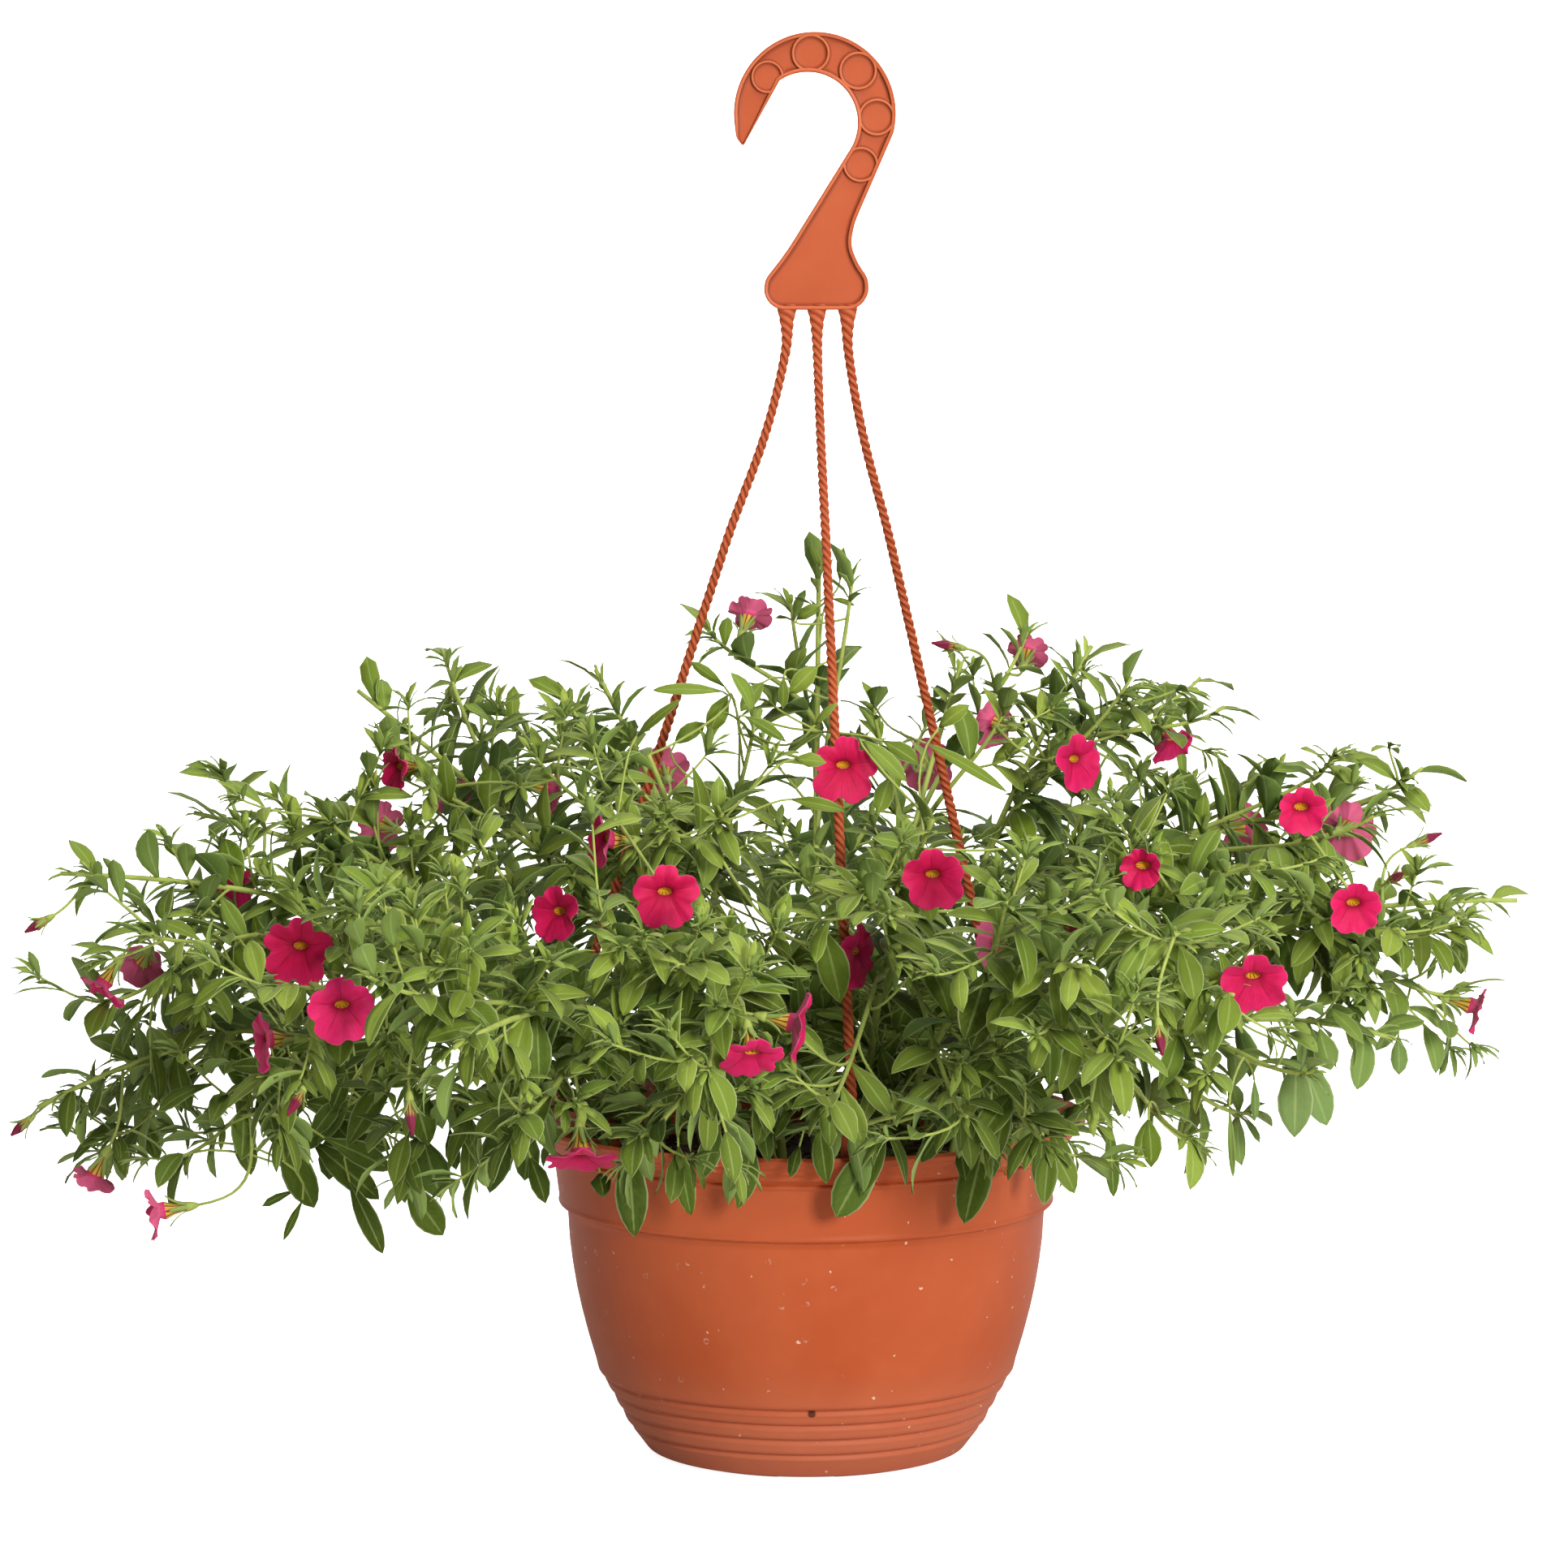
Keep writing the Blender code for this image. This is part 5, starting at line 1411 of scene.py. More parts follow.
# %% [markdown]
# ## The rest of the leaves
# The solids hold only some of the leaves. On the real plant short twigs stand along every shoot, a leaf grows every
# few millimetres, each turned 137.5 degrees from the last, and many leaf joints carry small twins. Each shoot and
# twig ends in a star of narrow young leaves. Old leaves are large, spread wide and hang a little. Low down the leaves
# close up, and in the crown each shoot stands alone, so a simple rule of height thins them out. Leaves that would
# stand in front of an open flower are left out, because flowers push past the leaves towards the light.

# %% Where leaves may stand
# x and height of the plant's upper outline, and of the line below which its leaves close up, seen from the front
CROWN = [(-358, 262), (-317, 284), (-276, 310), (-236, 314), (-222, 292), (-198, 300), (-192, 352), (-153, 362),
         (-109, 357), (-65, 362), (-31, 386), (9, 408), (30, 396), (70, 374), (98, 382), (124, 374), (134, 348),
         (180, 340), (200, 318), (264, 318), (295, 266), (328, 225)]
CLOSED_BELOW = [(-340, 215), (-297, 250), (-268, 300), (-244, 302), (-232, 280), (-216, 258), (-175, 325),
                (-135, 300), (-94, 303), (-54, 296), (-14, 272), (27, 268), (70, 250), (84, 270), (108, 350),
                (149, 296), (190, 282), (230, 312), (270, 225), (310, 190)]
# left, right, low and high limits of an area seen from the front, and the share of leaves that it keeps
THINNED = [(-42, 62, 275, math.inf, 0.5), (120, math.inf, -math.inf, 168, 0.25),
           (190, math.inf, -math.inf, 190, 0.25), (285, math.inf, -math.inf, 235, 0.35)]
# left, right, low and high limits of a view past the leaves, and how far back it is kept open
OPEN_VIEWS = [(0, 66, 162, 212, -66), (10, 24, 262, 292, -78), (56, 90, 286, 312, 400), (12, 26, 148, 216, -100)]
AIRY = 0.3
OPENS_BELOW = 25
OPENS_OVER = 55


def seen(place):
    """Where the camera sees a place: its x and z carried on to the plane through the pot's axis."""
    scale = CAMERA_AWAY / (CAMERA_AWAY + place.y)
    return place.x * scale, CAMERA_HIGH + (place.z - CAMERA_HIGH) * scale


def unseen(x, z, y):
    """The place at depth y that the camera sees at x, z of the plane through the pot's axis."""
    scale = (CAMERA_AWAY + y) / CAMERA_AWAY
    return Vector((x * scale, y, CAMERA_HIGH + (z - CAMERA_HIGH) * scale))


def level(table, x):
    """Height of one of those lines at x."""
    return float(np.interp(x, *zip(*table)))


def fullness(place):
    """Share of joints that carry leaves or twigs: all of them low down, few in the crown and where they are thinned."""
    x, z = seen(place)
    share = min(1.0, max(AIRY, 1 - (z - level(CLOSED_BELOW, x) + OPENS_BELOW) / OPENS_OVER))
    return share * next((kept for left, right, low, high, kept in THINNED if left < x < right and low < z < high), 1.0)


def hides_a_flower(place):
    """True if the place lies before an open flower, seen from the front."""
    eye = Vector((0, -CAMERA_AWAY, CAMERA_HIGH))
    for _, matrix, radius, *_ in blooms:
        middle = matrix @ Vector((0, 0, TUBE_LENGTH))
        sight = (middle - eye).normalized()
        along = (place - eye).dot(sight)
        if along < (middle - eye).length + 2 and (place - eye - sight * along).length < 0.85 * radius:
            return True
    return False


def may_stand(place):
    """True if a leaf or twig may reach the place: in the box, under the crown, and before no flower or open view."""
    x, z = seen(place)
    inside = all(low / MM + 1 < p < high / MM - 1 for p, low, high in zip(place, *cad_box))
    if not inside or z > level(CROWN, x) or hides_a_flower(place):
        return False
    return not any(left < x < right and low < z < high and place.y < back
                   for left, right, low, high, back in OPEN_VIEWS)


print("the crown is closed below z =", round(level(CLOSED_BELOW, 0)), "in the middle")

# %% [markdown]
# Most leaves can stand by rule, but the eye knows the single ones on the pot's rim and at the plant's outline.
# Those were read from the photograph one by one: where each begins, where it ends, and how wide it is.

# %% Single leaves that the photograph shows clearly
# x and z of the leaf's foot and of its tip as the camera sees them, width, and depth, or 0 on the pot's rim
SINGLE_LEAVES = [
    (-79, 133, -77, 95, 14, 0), (-92, 123, -91, 114, 9, 0), (-57, 135, -52, 105, 9, 0),
    (-39, 145, -47, 120, 10, 0), (-24, 135, -30, 107, 11, 0), (-19, 145, -17, 129, 7, 0),
    (-3, 135, -7, 122, 6, 0), (6, 145, 9, 119, 9.5, 0), (34, 141, 14, 104, 16, 0), (36, 143, 25, 113, 8, 0),
    (64, 147, 52, 130, 9, 0), (69, 136, 71, 121, 7, 0), (80, 137, 71, 102, 15, 0), (83, 137, 84, 122, 7, 0),
    (101, 151, 102, 136, 8, 0), (106, 140, 104, 117, 8, 0), (-234, 142, -221, 107, 14.1, -60),
    (-220, 137, -191, 112, 12.6, -75), (-215, 139, -186, 126, 10.5, -95), (-204, 119, -189, 87, 9.4, -80),
    (-171, 140, -164, 112, 15.2, -110), (-179, 120, -163, 95, 13.6, -70), (-192, 147, -176, 129, 7.6, -120),
    (-183, 129, -179, 110, 8.6, -95), (-150, 147, -151, 113, 7.6, -125), (-131, 154, -143, 114, 15, -100),
    (-159, 143, -157, 125, 6.6, -115), (-123, 142, -126, 120, 11.4, -110), (-123, 130, -116, 110, 8.5, -120),
    (-225, 111, -234, 93, 3.9, -70), (-229, 115, -243, 109, 3.9, -60), (-183, 168, -207, 136, 11.3, -135),
    (-134, 164, -111, 141, 12.3, -130), (-178, 168, -168, 136, 14, -150), (8, 232, 16, 200, 13.6, -122),
    (-5, 309, 8, 308, 6.5, -116), (-7, 291, 17, 287, 5.5, -112), (26, 317, 45, 300, 7.2, -100),
    (34, 317, 50, 308, 8, -60), (53, 316, 90, 296, 6, -20), (4, 324, 13, 334, 4.1, -88),
    (219, 176, 218, 139, 16, -45), (220, 176, 234, 145, 14, -38), (249, 186, 247, 161, 11, -30),
    (264, 185, 265, 168, 8, -20), (229, 188, 234, 170, 11, -70), (289, 237, 292, 213, 8, -20),
    (265, 230, 286, 238, 8, -40), (153, 147, 155, 126, 9, -95), (135, 150, 138, 112, 6.5, -110),
    (172, 142, 171, 116, 4.2, -80), (189, 153, 191, 121, 3.2, -70), (200, 165, 201, 147, 4, -60),
    (119, 181, 141, 163, 12, -150), (109, 196, 109, 162, 10, -150), (165, 238, 163, 213, 12, -150),
    (124, 220, 130, 196, 15, -160), (-27, 328, -9, 318, 4.9, -60), (-35, 337, -43, 321, 9.2, -20),
    (-37, 339, -67, 341, 5.3, -24), (-36, 341, -50, 352, 5, -16), (-19, 343, -29, 331, 7.6, 10),
    (5, 350, -7, 339, 8.7, 20),
    (-10, 345, -10, 332, 5, 10), (-4, 371, 5, 377, 6.2, 50), (15, 388, 16, 402, 4.8, 80),
    (6, 394, 3, 403, 3.3, 84), (12, 380, 21, 378, 3, 76), (-75, 319, -59, 334, 4.3, 0),
    (-58, 316, -46, 325, 7.5, -10), (59, 323, 71, 333, 7, -60),
]
print("single leaves:", len(SINGLE_LEAVES))

# %% [markdown]
# A leaf can't float, so each single leaf gets a thin stalk back to a shoot nearby. The nearest places are tried
# first. Where none is free, the leaf moves a little further out and tries again.

# %% Stalks for the single leaves
LEAF_STALK_R = 0.6
SOURCE_REACH = (3, 95)
SOURCE_TRIES = 30


def on_rim(x, z, reach):
    """The place that far from the pot's axis, in front of it, that the camera sees at x, z."""
    y = -reach
    for _ in range(4):
        y = -math.sqrt(reach * reach - unseen(x, z, y).x ** 2)
    return unseen(x, z, y)


def sources_near(root, lowest):
    """Places on the shoots that a leaf's stalk may come from, the nearest first."""
    found = []
    for name, group in shoots.items():
        for owner, _, _, curve in group:
            for source in bezier(*curve, 14)[2:]:
                away = (source - root).length
                if source.z > lowest and SOURCE_REACH[0] < away < SOURCE_REACH[1]:
                    found.append((away, name, owner, source))
    return sorted(found, key=lambda item: item[0])[:SOURCE_TRIES]


def single_leaf(k, x, z, tip_x, tip_z, width, y, extra):
    """Tries one of the single leaves on a thin stalk, a little further out by extra; returns its stalk."""
    if y:
        root, tip = unseen(x, z, y - extra), unseen(tip_x, tip_z, y - 6 - extra)
    else:
        root, tip = on_rim(x, z, 128 + extra), on_rim(tip_x, tip_z, 136 + extra)
    direction = (tip - root).normalized()
    normal = Vector((0.15 * math.sin(5 * k), -1, 0.35))
    normal = (normal - direction * normal.dot(direction)).normalized()
    length = (tip - root).length * 1.06
    fat, faces = coarse_leaf(root, direction, normal, length, width * 0.9, SHORT_ROWS, 0.2)
    if not thicket.free(fat, faces):
        return None
    hanging = z < 175
    for away, name, owner, source in sources_near(root, root.z - 4 if hanging else 0):
        rise = Vector((0, 0, 0.22 * away)) if hanging else Vector((0, 0, -0.1 * away))
        stalk = (source, source.lerp(root, 0.3) + rise, root - direction * 0.3 * away + rise * 0.4, root)
        if thicket.free(*prism(bezier(*stalk, 6), 0.75, 3), passing=(owner, name + "/root")):
            thicket.add(f"single/{k}", *prism(bezier(*stalk, 6), LEAF_STALK_R, 3))
            thicket.add(name + "/leaf", fat, faces)
            leaves[name].append((root, direction, normal, length, width, 0.05 + 0.3 * (z > 280), (k * 0.37) % 1))
            return name, f"single/{k}", LEAF_STALK_R, stalk
    return None


def deep_leaves(count, left, right, low, high, near, far):
    """Leaves that close a shaded hollow between those limits, as seen from the front."""
    rows = []
    for k in range(count):
        draw = random.Random(900 + k)
        x, z = draw.uniform(left, right), draw.uniform(low, high)
        length, way = draw.uniform(18, 30), draw.uniform(0.6, 5.7)
        rows.append((x, z, x + length * math.sin(way), z + length * math.cos(way) * 0.8, draw.uniform(7, 12),
                     draw.uniform(near, far)))
    return rows


HOLLOWS = deep_leaves(110, -8, 74, 160, 218, -52, 25) + deep_leaves(34, -232, -192, 140, 178, -95, 20)
leaf_stalks = []
for leaf_number, single in enumerate(SINGLE_LEAVES + HOLLOWS):
    for further in (0, 3, 6, 10):
        made_stalk = single_leaf(leaf_number, *single, further)
        if made_stalk:
            leaf_stalks.append(made_stalk)
            break
print("single leaves placed:", len(leaf_stalks), "of", leaf_number + 1)

# %% [markdown]
# A few thick shoots run in front of the leaves. Each passes through three places that the photograph shows, and
# the control points are worked out from those.

# %% Shoots in front
FRONT_R = 1.25
# three places that a shoot in front passes as the camera sees them, and its depth
FRONT_SHOOTS = [
    ((-59, 196), (-48, 164), (-31, 148), -129), ((-14, 166), (3, 157), (29, 143), -130),
    ((30, 143), (50, 149), (87, 174), -128), ((-77, 146), (-103, 143), (-128, 146), -112),
    ((-292, 233), (-304, 244), (-317, 255), -30), ((-141, 153), (-175, 167), (-195, 195), -170),
    ((-132, 251), (-142, 267), (-147, 278), -130),
]


def front_shoot(k, first, middle, last, y):
    """A thick shoot in front of the rest, seen through three places, that comes from the nearest older shoot."""
    first, middle, last = unseen(*first, y), unseen(*middle, y), unseen(*last, y)
    for away, name, owner, source in sources_near(first, SOIL_TOP + 2):
        total = away + (middle - first).length + (last - middle).length
        s, t = away / total, (away + (middle - first).length) / total
        one, two = (p - source * (1 - u) ** 3 - last * u ** 3 for p, u in ((first, s), (middle, t)))
        a, b, c, d = 3 * s * (1 - s) ** 2, 3 * s * s * (1 - s), 3 * t * (1 - t) ** 2, 3 * t * t * (1 - t)
        curve = (source, (one * d - two * b) / (a * d - b * c), (two * a - one * c) / (a * d - b * c), last)
        body = prism(bezier(*curve, 9), FRONT_R + 0.05, 3)
        if thicket.free(*body, passing=(owner, name + "/root")):
            thicket.add(f"front/{k}", *body)
            return name, f"front/{k}", FRONT_R, curve
    return None


front_shoots = [made for made in (front_shoot(k, *row) for k, row in enumerate(FRONT_SHOOTS)) if made]
print("shoots in front:", len(front_shoots))

# %% [markdown]
# Short twigs fill the plant between its long shoots. They leave at an acute angle, as twigs do, and only where
# there is room, so the thicket is close low down and airy at the top.

# %% Side twigs
TWIG_SHARES = (0.3, 0.42, 0.54, 0.66, 0.78, 0.9)
INNER_SHARES = (0.12, 0.17, 0.23)
TWIG_TRIES = 7
TWIG_R = 0.75


def grow_twigs():
    """[(stem, owner, radius, curve)] of short side twigs, each clear of all that stands already."""
    grown = []
    for stem, shoot, name, owner, route, curve in all_shoots():
        fine = bezier(*curve, 30)
        for k, share in enumerate(TWIG_SHARES + (INNER_SHARES if shoot == 0 else ())):
            draw = random.Random(5 + stem * 20000 + shoot * 1000 + k)
            if draw.random() > fullness(at(fine, share)[0]):
                continue
            for _ in range(TWIG_TRIES):
                start, along = at(fine, share + draw.uniform(-0.06, 0.06))
                length, spread = draw.uniform(24, 50), math.radians(draw.uniform(35, 75))
                direction = leaf_pose(along, draw.uniform(0, 6.28), spread, 0)[0]
                direction = (direction + Vector((0, 0, draw.uniform(0.0, 0.5)))).normalized()
                tip, sag = start + direction * length, Vector((0, 0, -0.12 * length))
                second = start + (along * 0.2 + direction * 0.15) * length + sag
                twig = (start, second, tip - direction * 0.3 * length + sag * 0.7, tip)
                if tip.z < SOIL_TOP or not may_stand(tip) or draw.random() > fullness(tip) + 0.2:
                    continue
                coarse = bezier(*twig, 4)
                if thicket.free(*prism(coarse, TWIG_R + 0.25, 3), passing=(owner, name + "/root")):
                    thicket.add(f"{owner}/{k}", *prism(coarse, TWIG_R, 3))
                    grown.append((name, f"{owner}/{k}", TWIG_R, twig))
                    break
    return grown


twigs = front_shoots + grow_twigs()
print("side twigs:", len(twigs))

# %% [markdown]
# An old leaf is large and leans down, a young one is narrow and stands up, and a tip ends in a small star. Copies
# of one leaf would be quicker, but the eye finds repeats at once, so each leaf has its own size and turn.

# %% More leaves at every joint
# length and width
OLD_LEAF = (34.0, 12.5)
YOUNG_LEAF = (17.0, 5.2)
JOINT_GAP = 8.8
TWIG_JOINT_GAP = 7.4
LAST_JOINT = 0.97
STAR_LEAVES = 8
FINE_STEPS = (0, 35, -35, 75, -75, 120, -120, 180)


def try_leaf(owner, name, root, along, turn, spread, length, width, young, draw, lean=0.0):
    """Adds a leaf at that joint, turned until it stands clear; gives up after a full turn."""
    roll = math.radians(draw.uniform(-30, 30))
    for step in FINE_STEPS:
        direction, normal = leaf_pose(along, turn + math.radians(step), spread, roll)
        if lean:
            direction = (direction + Vector((0, 0, -lean))).normalized()
            normal = (normal - direction * normal.dot(direction)).normalized()
        tip = root + direction * length
        if tip.z < SOIL_TOP - 14 or not may_stand(tip) or not may_stand(root + direction * 0.6 * length):
            continue
        fat, faces = coarse_leaf(root, direction, normal, length, width * 0.85, SHORT_ROWS, 0.1)
        if thicket.free(fat, faces, passing=(owner, name + "/root")):
            far = root + direction * 0.3 * length
            thicket.add(name + "/root", fat, faces)
            thicket.add(name + "/leaf", *coarse_leaf(far, direction, normal, 0.7 * length, width * 0.85, SHORT_ROWS))
            leaves[name].append((root, direction, normal, length, width, young, draw.random()))
            return


def dress(code, name, owner, curve, lowest, gap, oldest):
    """Leaves along one shoot or twig, small twins in their joints and a star of young leaves at its tip."""
    fine = bezier(*curve, 30)
    length = sum((b - a).length for a, b in zip(fine, fine[1:]))
    joints = max(2, int(length * (LAST_JOINT - lowest) / gap))
    for k in range(joints):
        draw = random.Random(7 + 1000 * code + k)
        share = lowest + (LAST_JOINT - lowest) * (k + 0.4 * draw.random()) / joints
        root, along = at(fine, share)
        full = fullness(root)
        if draw.random() > 0.1 + full:
            continue
        age = min(oldest, 0.2 + (1 - share) * length / 90)
        size = YOUNG_LEAF[0] + (OLD_LEAF[0] - YOUNG_LEAF[0]) * age ** 0.7 * draw.uniform(0.7, 1.08)
        width = YOUNG_LEAF[1] + (OLD_LEAF[1] - YOUNG_LEAF[1]) * age ** 0.8 * draw.uniform(0.75, 1.1)
        turn = math.radians(LEAF_TURN * k + 53 * code)
        spread = math.radians(38 + 34 * age + draw.uniform(-12, 14))
        lean = 0.75 * age * draw.random() ** 1.5
        try_leaf(owner, name, root, along, turn, spread, size, width, 0.75 * (1 - age), draw, lean)
        if full < 0.7 and draw.random() < 0.6:
            try_leaf(owner, name, root, along, turn + 3, spread, size * 0.85, width * 0.85, 0.75 * (1 - age), draw)
        for twin in range(draw.choice((0, 0, 0, 1, 2))):
            small = draw.uniform(0.4, 0.62) * size
            near = math.radians(draw.uniform(24, 46))
            try_leaf(owner, name, root, along, turn + 0.5 - twin, near, small, small * 0.28, 0.55, draw)
    for k in range(STAR_LEAVES):
        draw = random.Random(11 + 1000 * code + k)
        root, along = at(fine, 0.99 - 0.012 * k)
        size = draw.uniform(9, 17) * (0.75 + 0.06 * k)
        spread = math.radians(13 + 6.5 * k + draw.uniform(-6, 6))
        turn = math.radians(LEAF_TURN * k)
        try_leaf(owner, name, root, along, turn, spread, size, size * 0.25, 0.95 - 0.07 * k, draw)


for code, (name, owner, _, curve) in enumerate(twigs):
    dress(500 + code, name, owner, curve, 0.18, TWIG_JOINT_GAP, 0.75)
for stem, shoot, name, owner, route, curve in all_shoots():
    dress(stem * 5 + shoot, name, owner, curve, 0.1, JOINT_GAP, 1.0)
print("leaves in all:", sum(len(group) for group in leaves.values()))

# %% [markdown]
# ## Leaf blades, shoots and hairs as meshes
# A leaf is a thin closed sheet: a grid for its face, the same grid a fraction of a millimetre below for its
# underside, and a rim between. The grid follows the outline of a spoon-shaped leaf, folds a little along the rib and
# twists a little towards its tip. A shoot is a tube along its curve. Its hairs are slivers with three sides, drawn
# about twice as thick as real ones, which would be finer than a pixel.

# %% Fine blades
SMALL_STEPS = np.array([0, 0.2, 0.5, 0.8, 1.0])
# for leaves over that length, the rows of the grid and its columns
BLADES = [(25.0, np.array([0, 0.14, 0.32, 0.5, 0.66, 0.8, 0.92, 1.0]), 5),
          (17.0, np.array([0, 0.16, 0.38, 0.62, 0.84, 1.0]), 3), (11.0, SMALL_STEPS, 3),
          (0.0, np.array([0, 0.35, 0.75, 1.0]), 3)]
BLADE_FACES = {(len(rows), columns): sheet_faces(len(rows), columns) for above, rows, columns in BLADES}
FAR_BACK = 30.0
# hairs for each millimetre
SHOOT_HAIRS, TWIG_HAIRS, STALK_HAIRS = 0.9, 0.45, 1.1


def spoon(t, foot=1.1, tip=0.8):
    """Half width of a leaf at a share of its length; a larger foot or tip makes it narrower at that end."""
    s = np.clip((t - 0.05) / 0.95, 0, 1)
    widest = foot / (foot + tip)
    return 0.1 * (1 - t) + 0.98 * s ** foot * (1 - s) ** tip / (widest ** foot * (1 - widest) ** tip)


def add_leaf(shape, root, direction, normal, length, width, young, seed):
    """One leaf as a thin closed sheet with its marks."""
    judged = length * (0.6 if root.y > FAR_BACK else 1.0)
    rows, columns = next(blade[1:] for blade in BLADES if judged > blade[0])
    t, u = rows[:, None], np.linspace(-1, 1, columns)[None, :]
    draw = random.Random(int(seed * 1e9))
    fold, twist, wave = draw.uniform(0.1, 0.4), draw.uniform(-0.5, 0.5), draw.uniform(0.0, 0.5)
    ahead, up = np.array(direction), np.array(normal)
    side = np.cross(ahead, up)
    half = spoon(t, draw.uniform(0.75, 1.25), draw.uniform(0.68, 1.0)) * width / 2
    turn = twist * t
    across = half * u
    lift = length * (0.16 * t - 0.34 * t * t) + fold * np.abs(across) * np.cos(turn) + across * np.sin(turn)
    lift = lift + wave * np.sin(9 * t + 6 * seed) * u * np.abs(u)
    sideways = across * np.cos(turn)
    forward = length * t * (1 - 0.06 * t) + 0 * u
    top = (np.array(root) + forward[..., None] * ahead + sideways[..., None] * side + lift[..., None] * up)
    thick = 0.22 + 0.3 * (1 - np.abs(u)) * (1 - t)
    points = np.concatenate([top.reshape(-1, 3), (top - thick[..., None] * up).reshape(-1, 3)])
    shape.add(points, BLADE_FACES[len(t), columns], 0, sheet_marks(t, u), young, seed)


print("half width of a leaf of width 1 at its middle:", round(float(spoon(np.array(0.5))) / 2, 3))

# %% [markdown]
# The hairs could be a particle system. Here they are three-sided slivers in the same mesh, so that they stay
# with the piece.

# %% Fine shoots and hairs


def add_shoot(shape, chain, thick, thin, sides, from_age=0.0):
    """A round shoot that narrows along its chain of points, closed at both ends."""
    points, place = [], []
    side = (chain[1] - chain[0]).orthogonal().normalized()
    for k, here in enumerate(chain):
        along = (chain[min(k + 1, len(chain) - 1)] - chain[max(k - 1, 0)]).normalized()
        side = (side - along * side.dot(along)).normalized()
        other = along.cross(side)
        share = k / (len(chain) - 1)
        radius = thick + (thin - thick) * share
        for i in range(sides):
            a = 2 * math.pi * i / sides
            points.append(here + (side * math.cos(a) + other * math.sin(a)) * radius)
            place.append((from_age + (1 - from_age) * share, i / sides, 0))
    shape.add([tuple(p) for p in points], tube_faces(len(chain), sides), 1, place)


def add_hairs(shape, chain, thick, thin, per_mm, draw):
    """Slivers that stand out all round a shoot."""
    rows = []
    for k, (here, there) in enumerate(zip(chain, chain[1:])):
        along = (there - here).normalized()
        side = along.orthogonal().normalized()
        other = along.cross(side)
        share = k / (len(chain) - 1)
        radius = thick + (thin - thick) * share
        for _ in range(max(1, round((there - here).length * per_mm))):
            a = draw.uniform(0, 2 * math.pi)
            out = side * math.cos(a) + other * math.sin(a)
            base = here.lerp(there, draw.random()) + out * radius * 0.85
            over = along.cross(out) * 0.05
            tip = base + (out + along * draw.uniform(-0.2, 0.5)) * draw.uniform(0.7, 1.5)
            rows += [base + over, base - over, base + along * 0.1, tip]
    faces = []
    for i in range(0, len(rows), 4):
        faces += [(i, i + 2, i + 1), (i, i + 1, i + 3), (i + 1, i + 2, i + 3), (i + 2, i, i + 3)]
    place = np.tile([[0.2, 0, 0]] * 3 + [[1.0, 0, 0]], (len(rows) // 4, 1))
    shape.add([tuple(p) for p in rows], faces, 2, place)


print("hairs on 10 mm of a shoot:", round(10 * SHOOT_HAIRS), "and of a twig:", round(10 * TWIG_HAIRS))

# %% [markdown]
# ## Calyx, stalk and bud
# Each flower stands in a green cup with five narrow sepals that spread like a star. A closed bud and a spent flower
# are folded tubes: five pleats wound round each other, dark crimson towards the tip.

# %% Sepals, stalks and folded flowers
# stations of a fine shoot, its radius at the foot and at the tip, and how many stations the soil hides
MAIN_SHOOT = (26, 1.95, 1.05, 4)
SIDE_SHOOT = (18, 1.4, 0.8, 0)
TWIG_TIP_R = 0.5
STALK_WIDTHS = (0.62, 0.8)
SEPAL_FACES = [face[::-1] for face in sheet_faces(5, 3)]


def add_calyx(shape, place, seed, size=1.0):
    """A cup of five narrow sepals round the seat of the flower."""
    draw = random.Random(int(seed * 1e9) + 5)
    t, u = SMALL_STEPS[:, None], np.array([-1.0, 0.0, 1.0])[None, :]
    for i in range(5):
        a = 2 * math.pi * i / 5 + draw.uniform(-0.12, 0.12)
        out = np.array([math.cos(a), math.sin(a), 0.0])
        side = np.array([-math.sin(a), math.cos(a), 0.0])
        reach = draw.uniform(0.85, 1.15)
        radius = 0.9 + 1.5 * np.sqrt(t) + 4.4 * reach * t ** 2.2
        high = -2.9 + (6.6 + 6.0 * reach) * t - 2.0 * t * t
        half = 1.15 * (1 - t) ** 0.5 * (0.75 + 0.7 * t) + 0.12
        rows = radius[..., None] * out + (half * u)[..., None] * side
        rows = rows + (high + 0.35 * np.abs(u))[..., None] * np.array([0, 0, 1.0])
        inwards = 0.35 * (np.array([0, 0, 0.6]) - 0.8 * out)
        both = np.concatenate([(rows + inwards).reshape(-1, 3), rows.reshape(-1, 3)]) * size
        shape.add(moved(place, both), SEPAL_FACES, 0, sheet_marks(t, u), 0.8, seed)
    profile = [(0, -5.0), (0.85, -4.8), (1.5, -3.4), (2.0, -1.6), (2.3, 0.4), (1.9, 0.5), (1.4, -0.8), (0, -1.4)]
    points, faces = turned([(r * size, z * size) for r, z in profile], 12)
    shape.add(moved(place, points), faces, 1, (0.9, 0, 0))


def add_stalk(shape, route, draw):
    """A thin stalk that rounds the bend of its route."""
    start, elbow, target = route
    chain = bezier(start, start.lerp(elbow, 0.9), elbow.lerp(target, 0.25), target, 12)
    add_shoot(shape, chain, *STALK_WIDTHS, 6, from_age=0.6)
    add_hairs(shape, chain, *STALK_WIDTHS, STALK_HAIRS, draw)


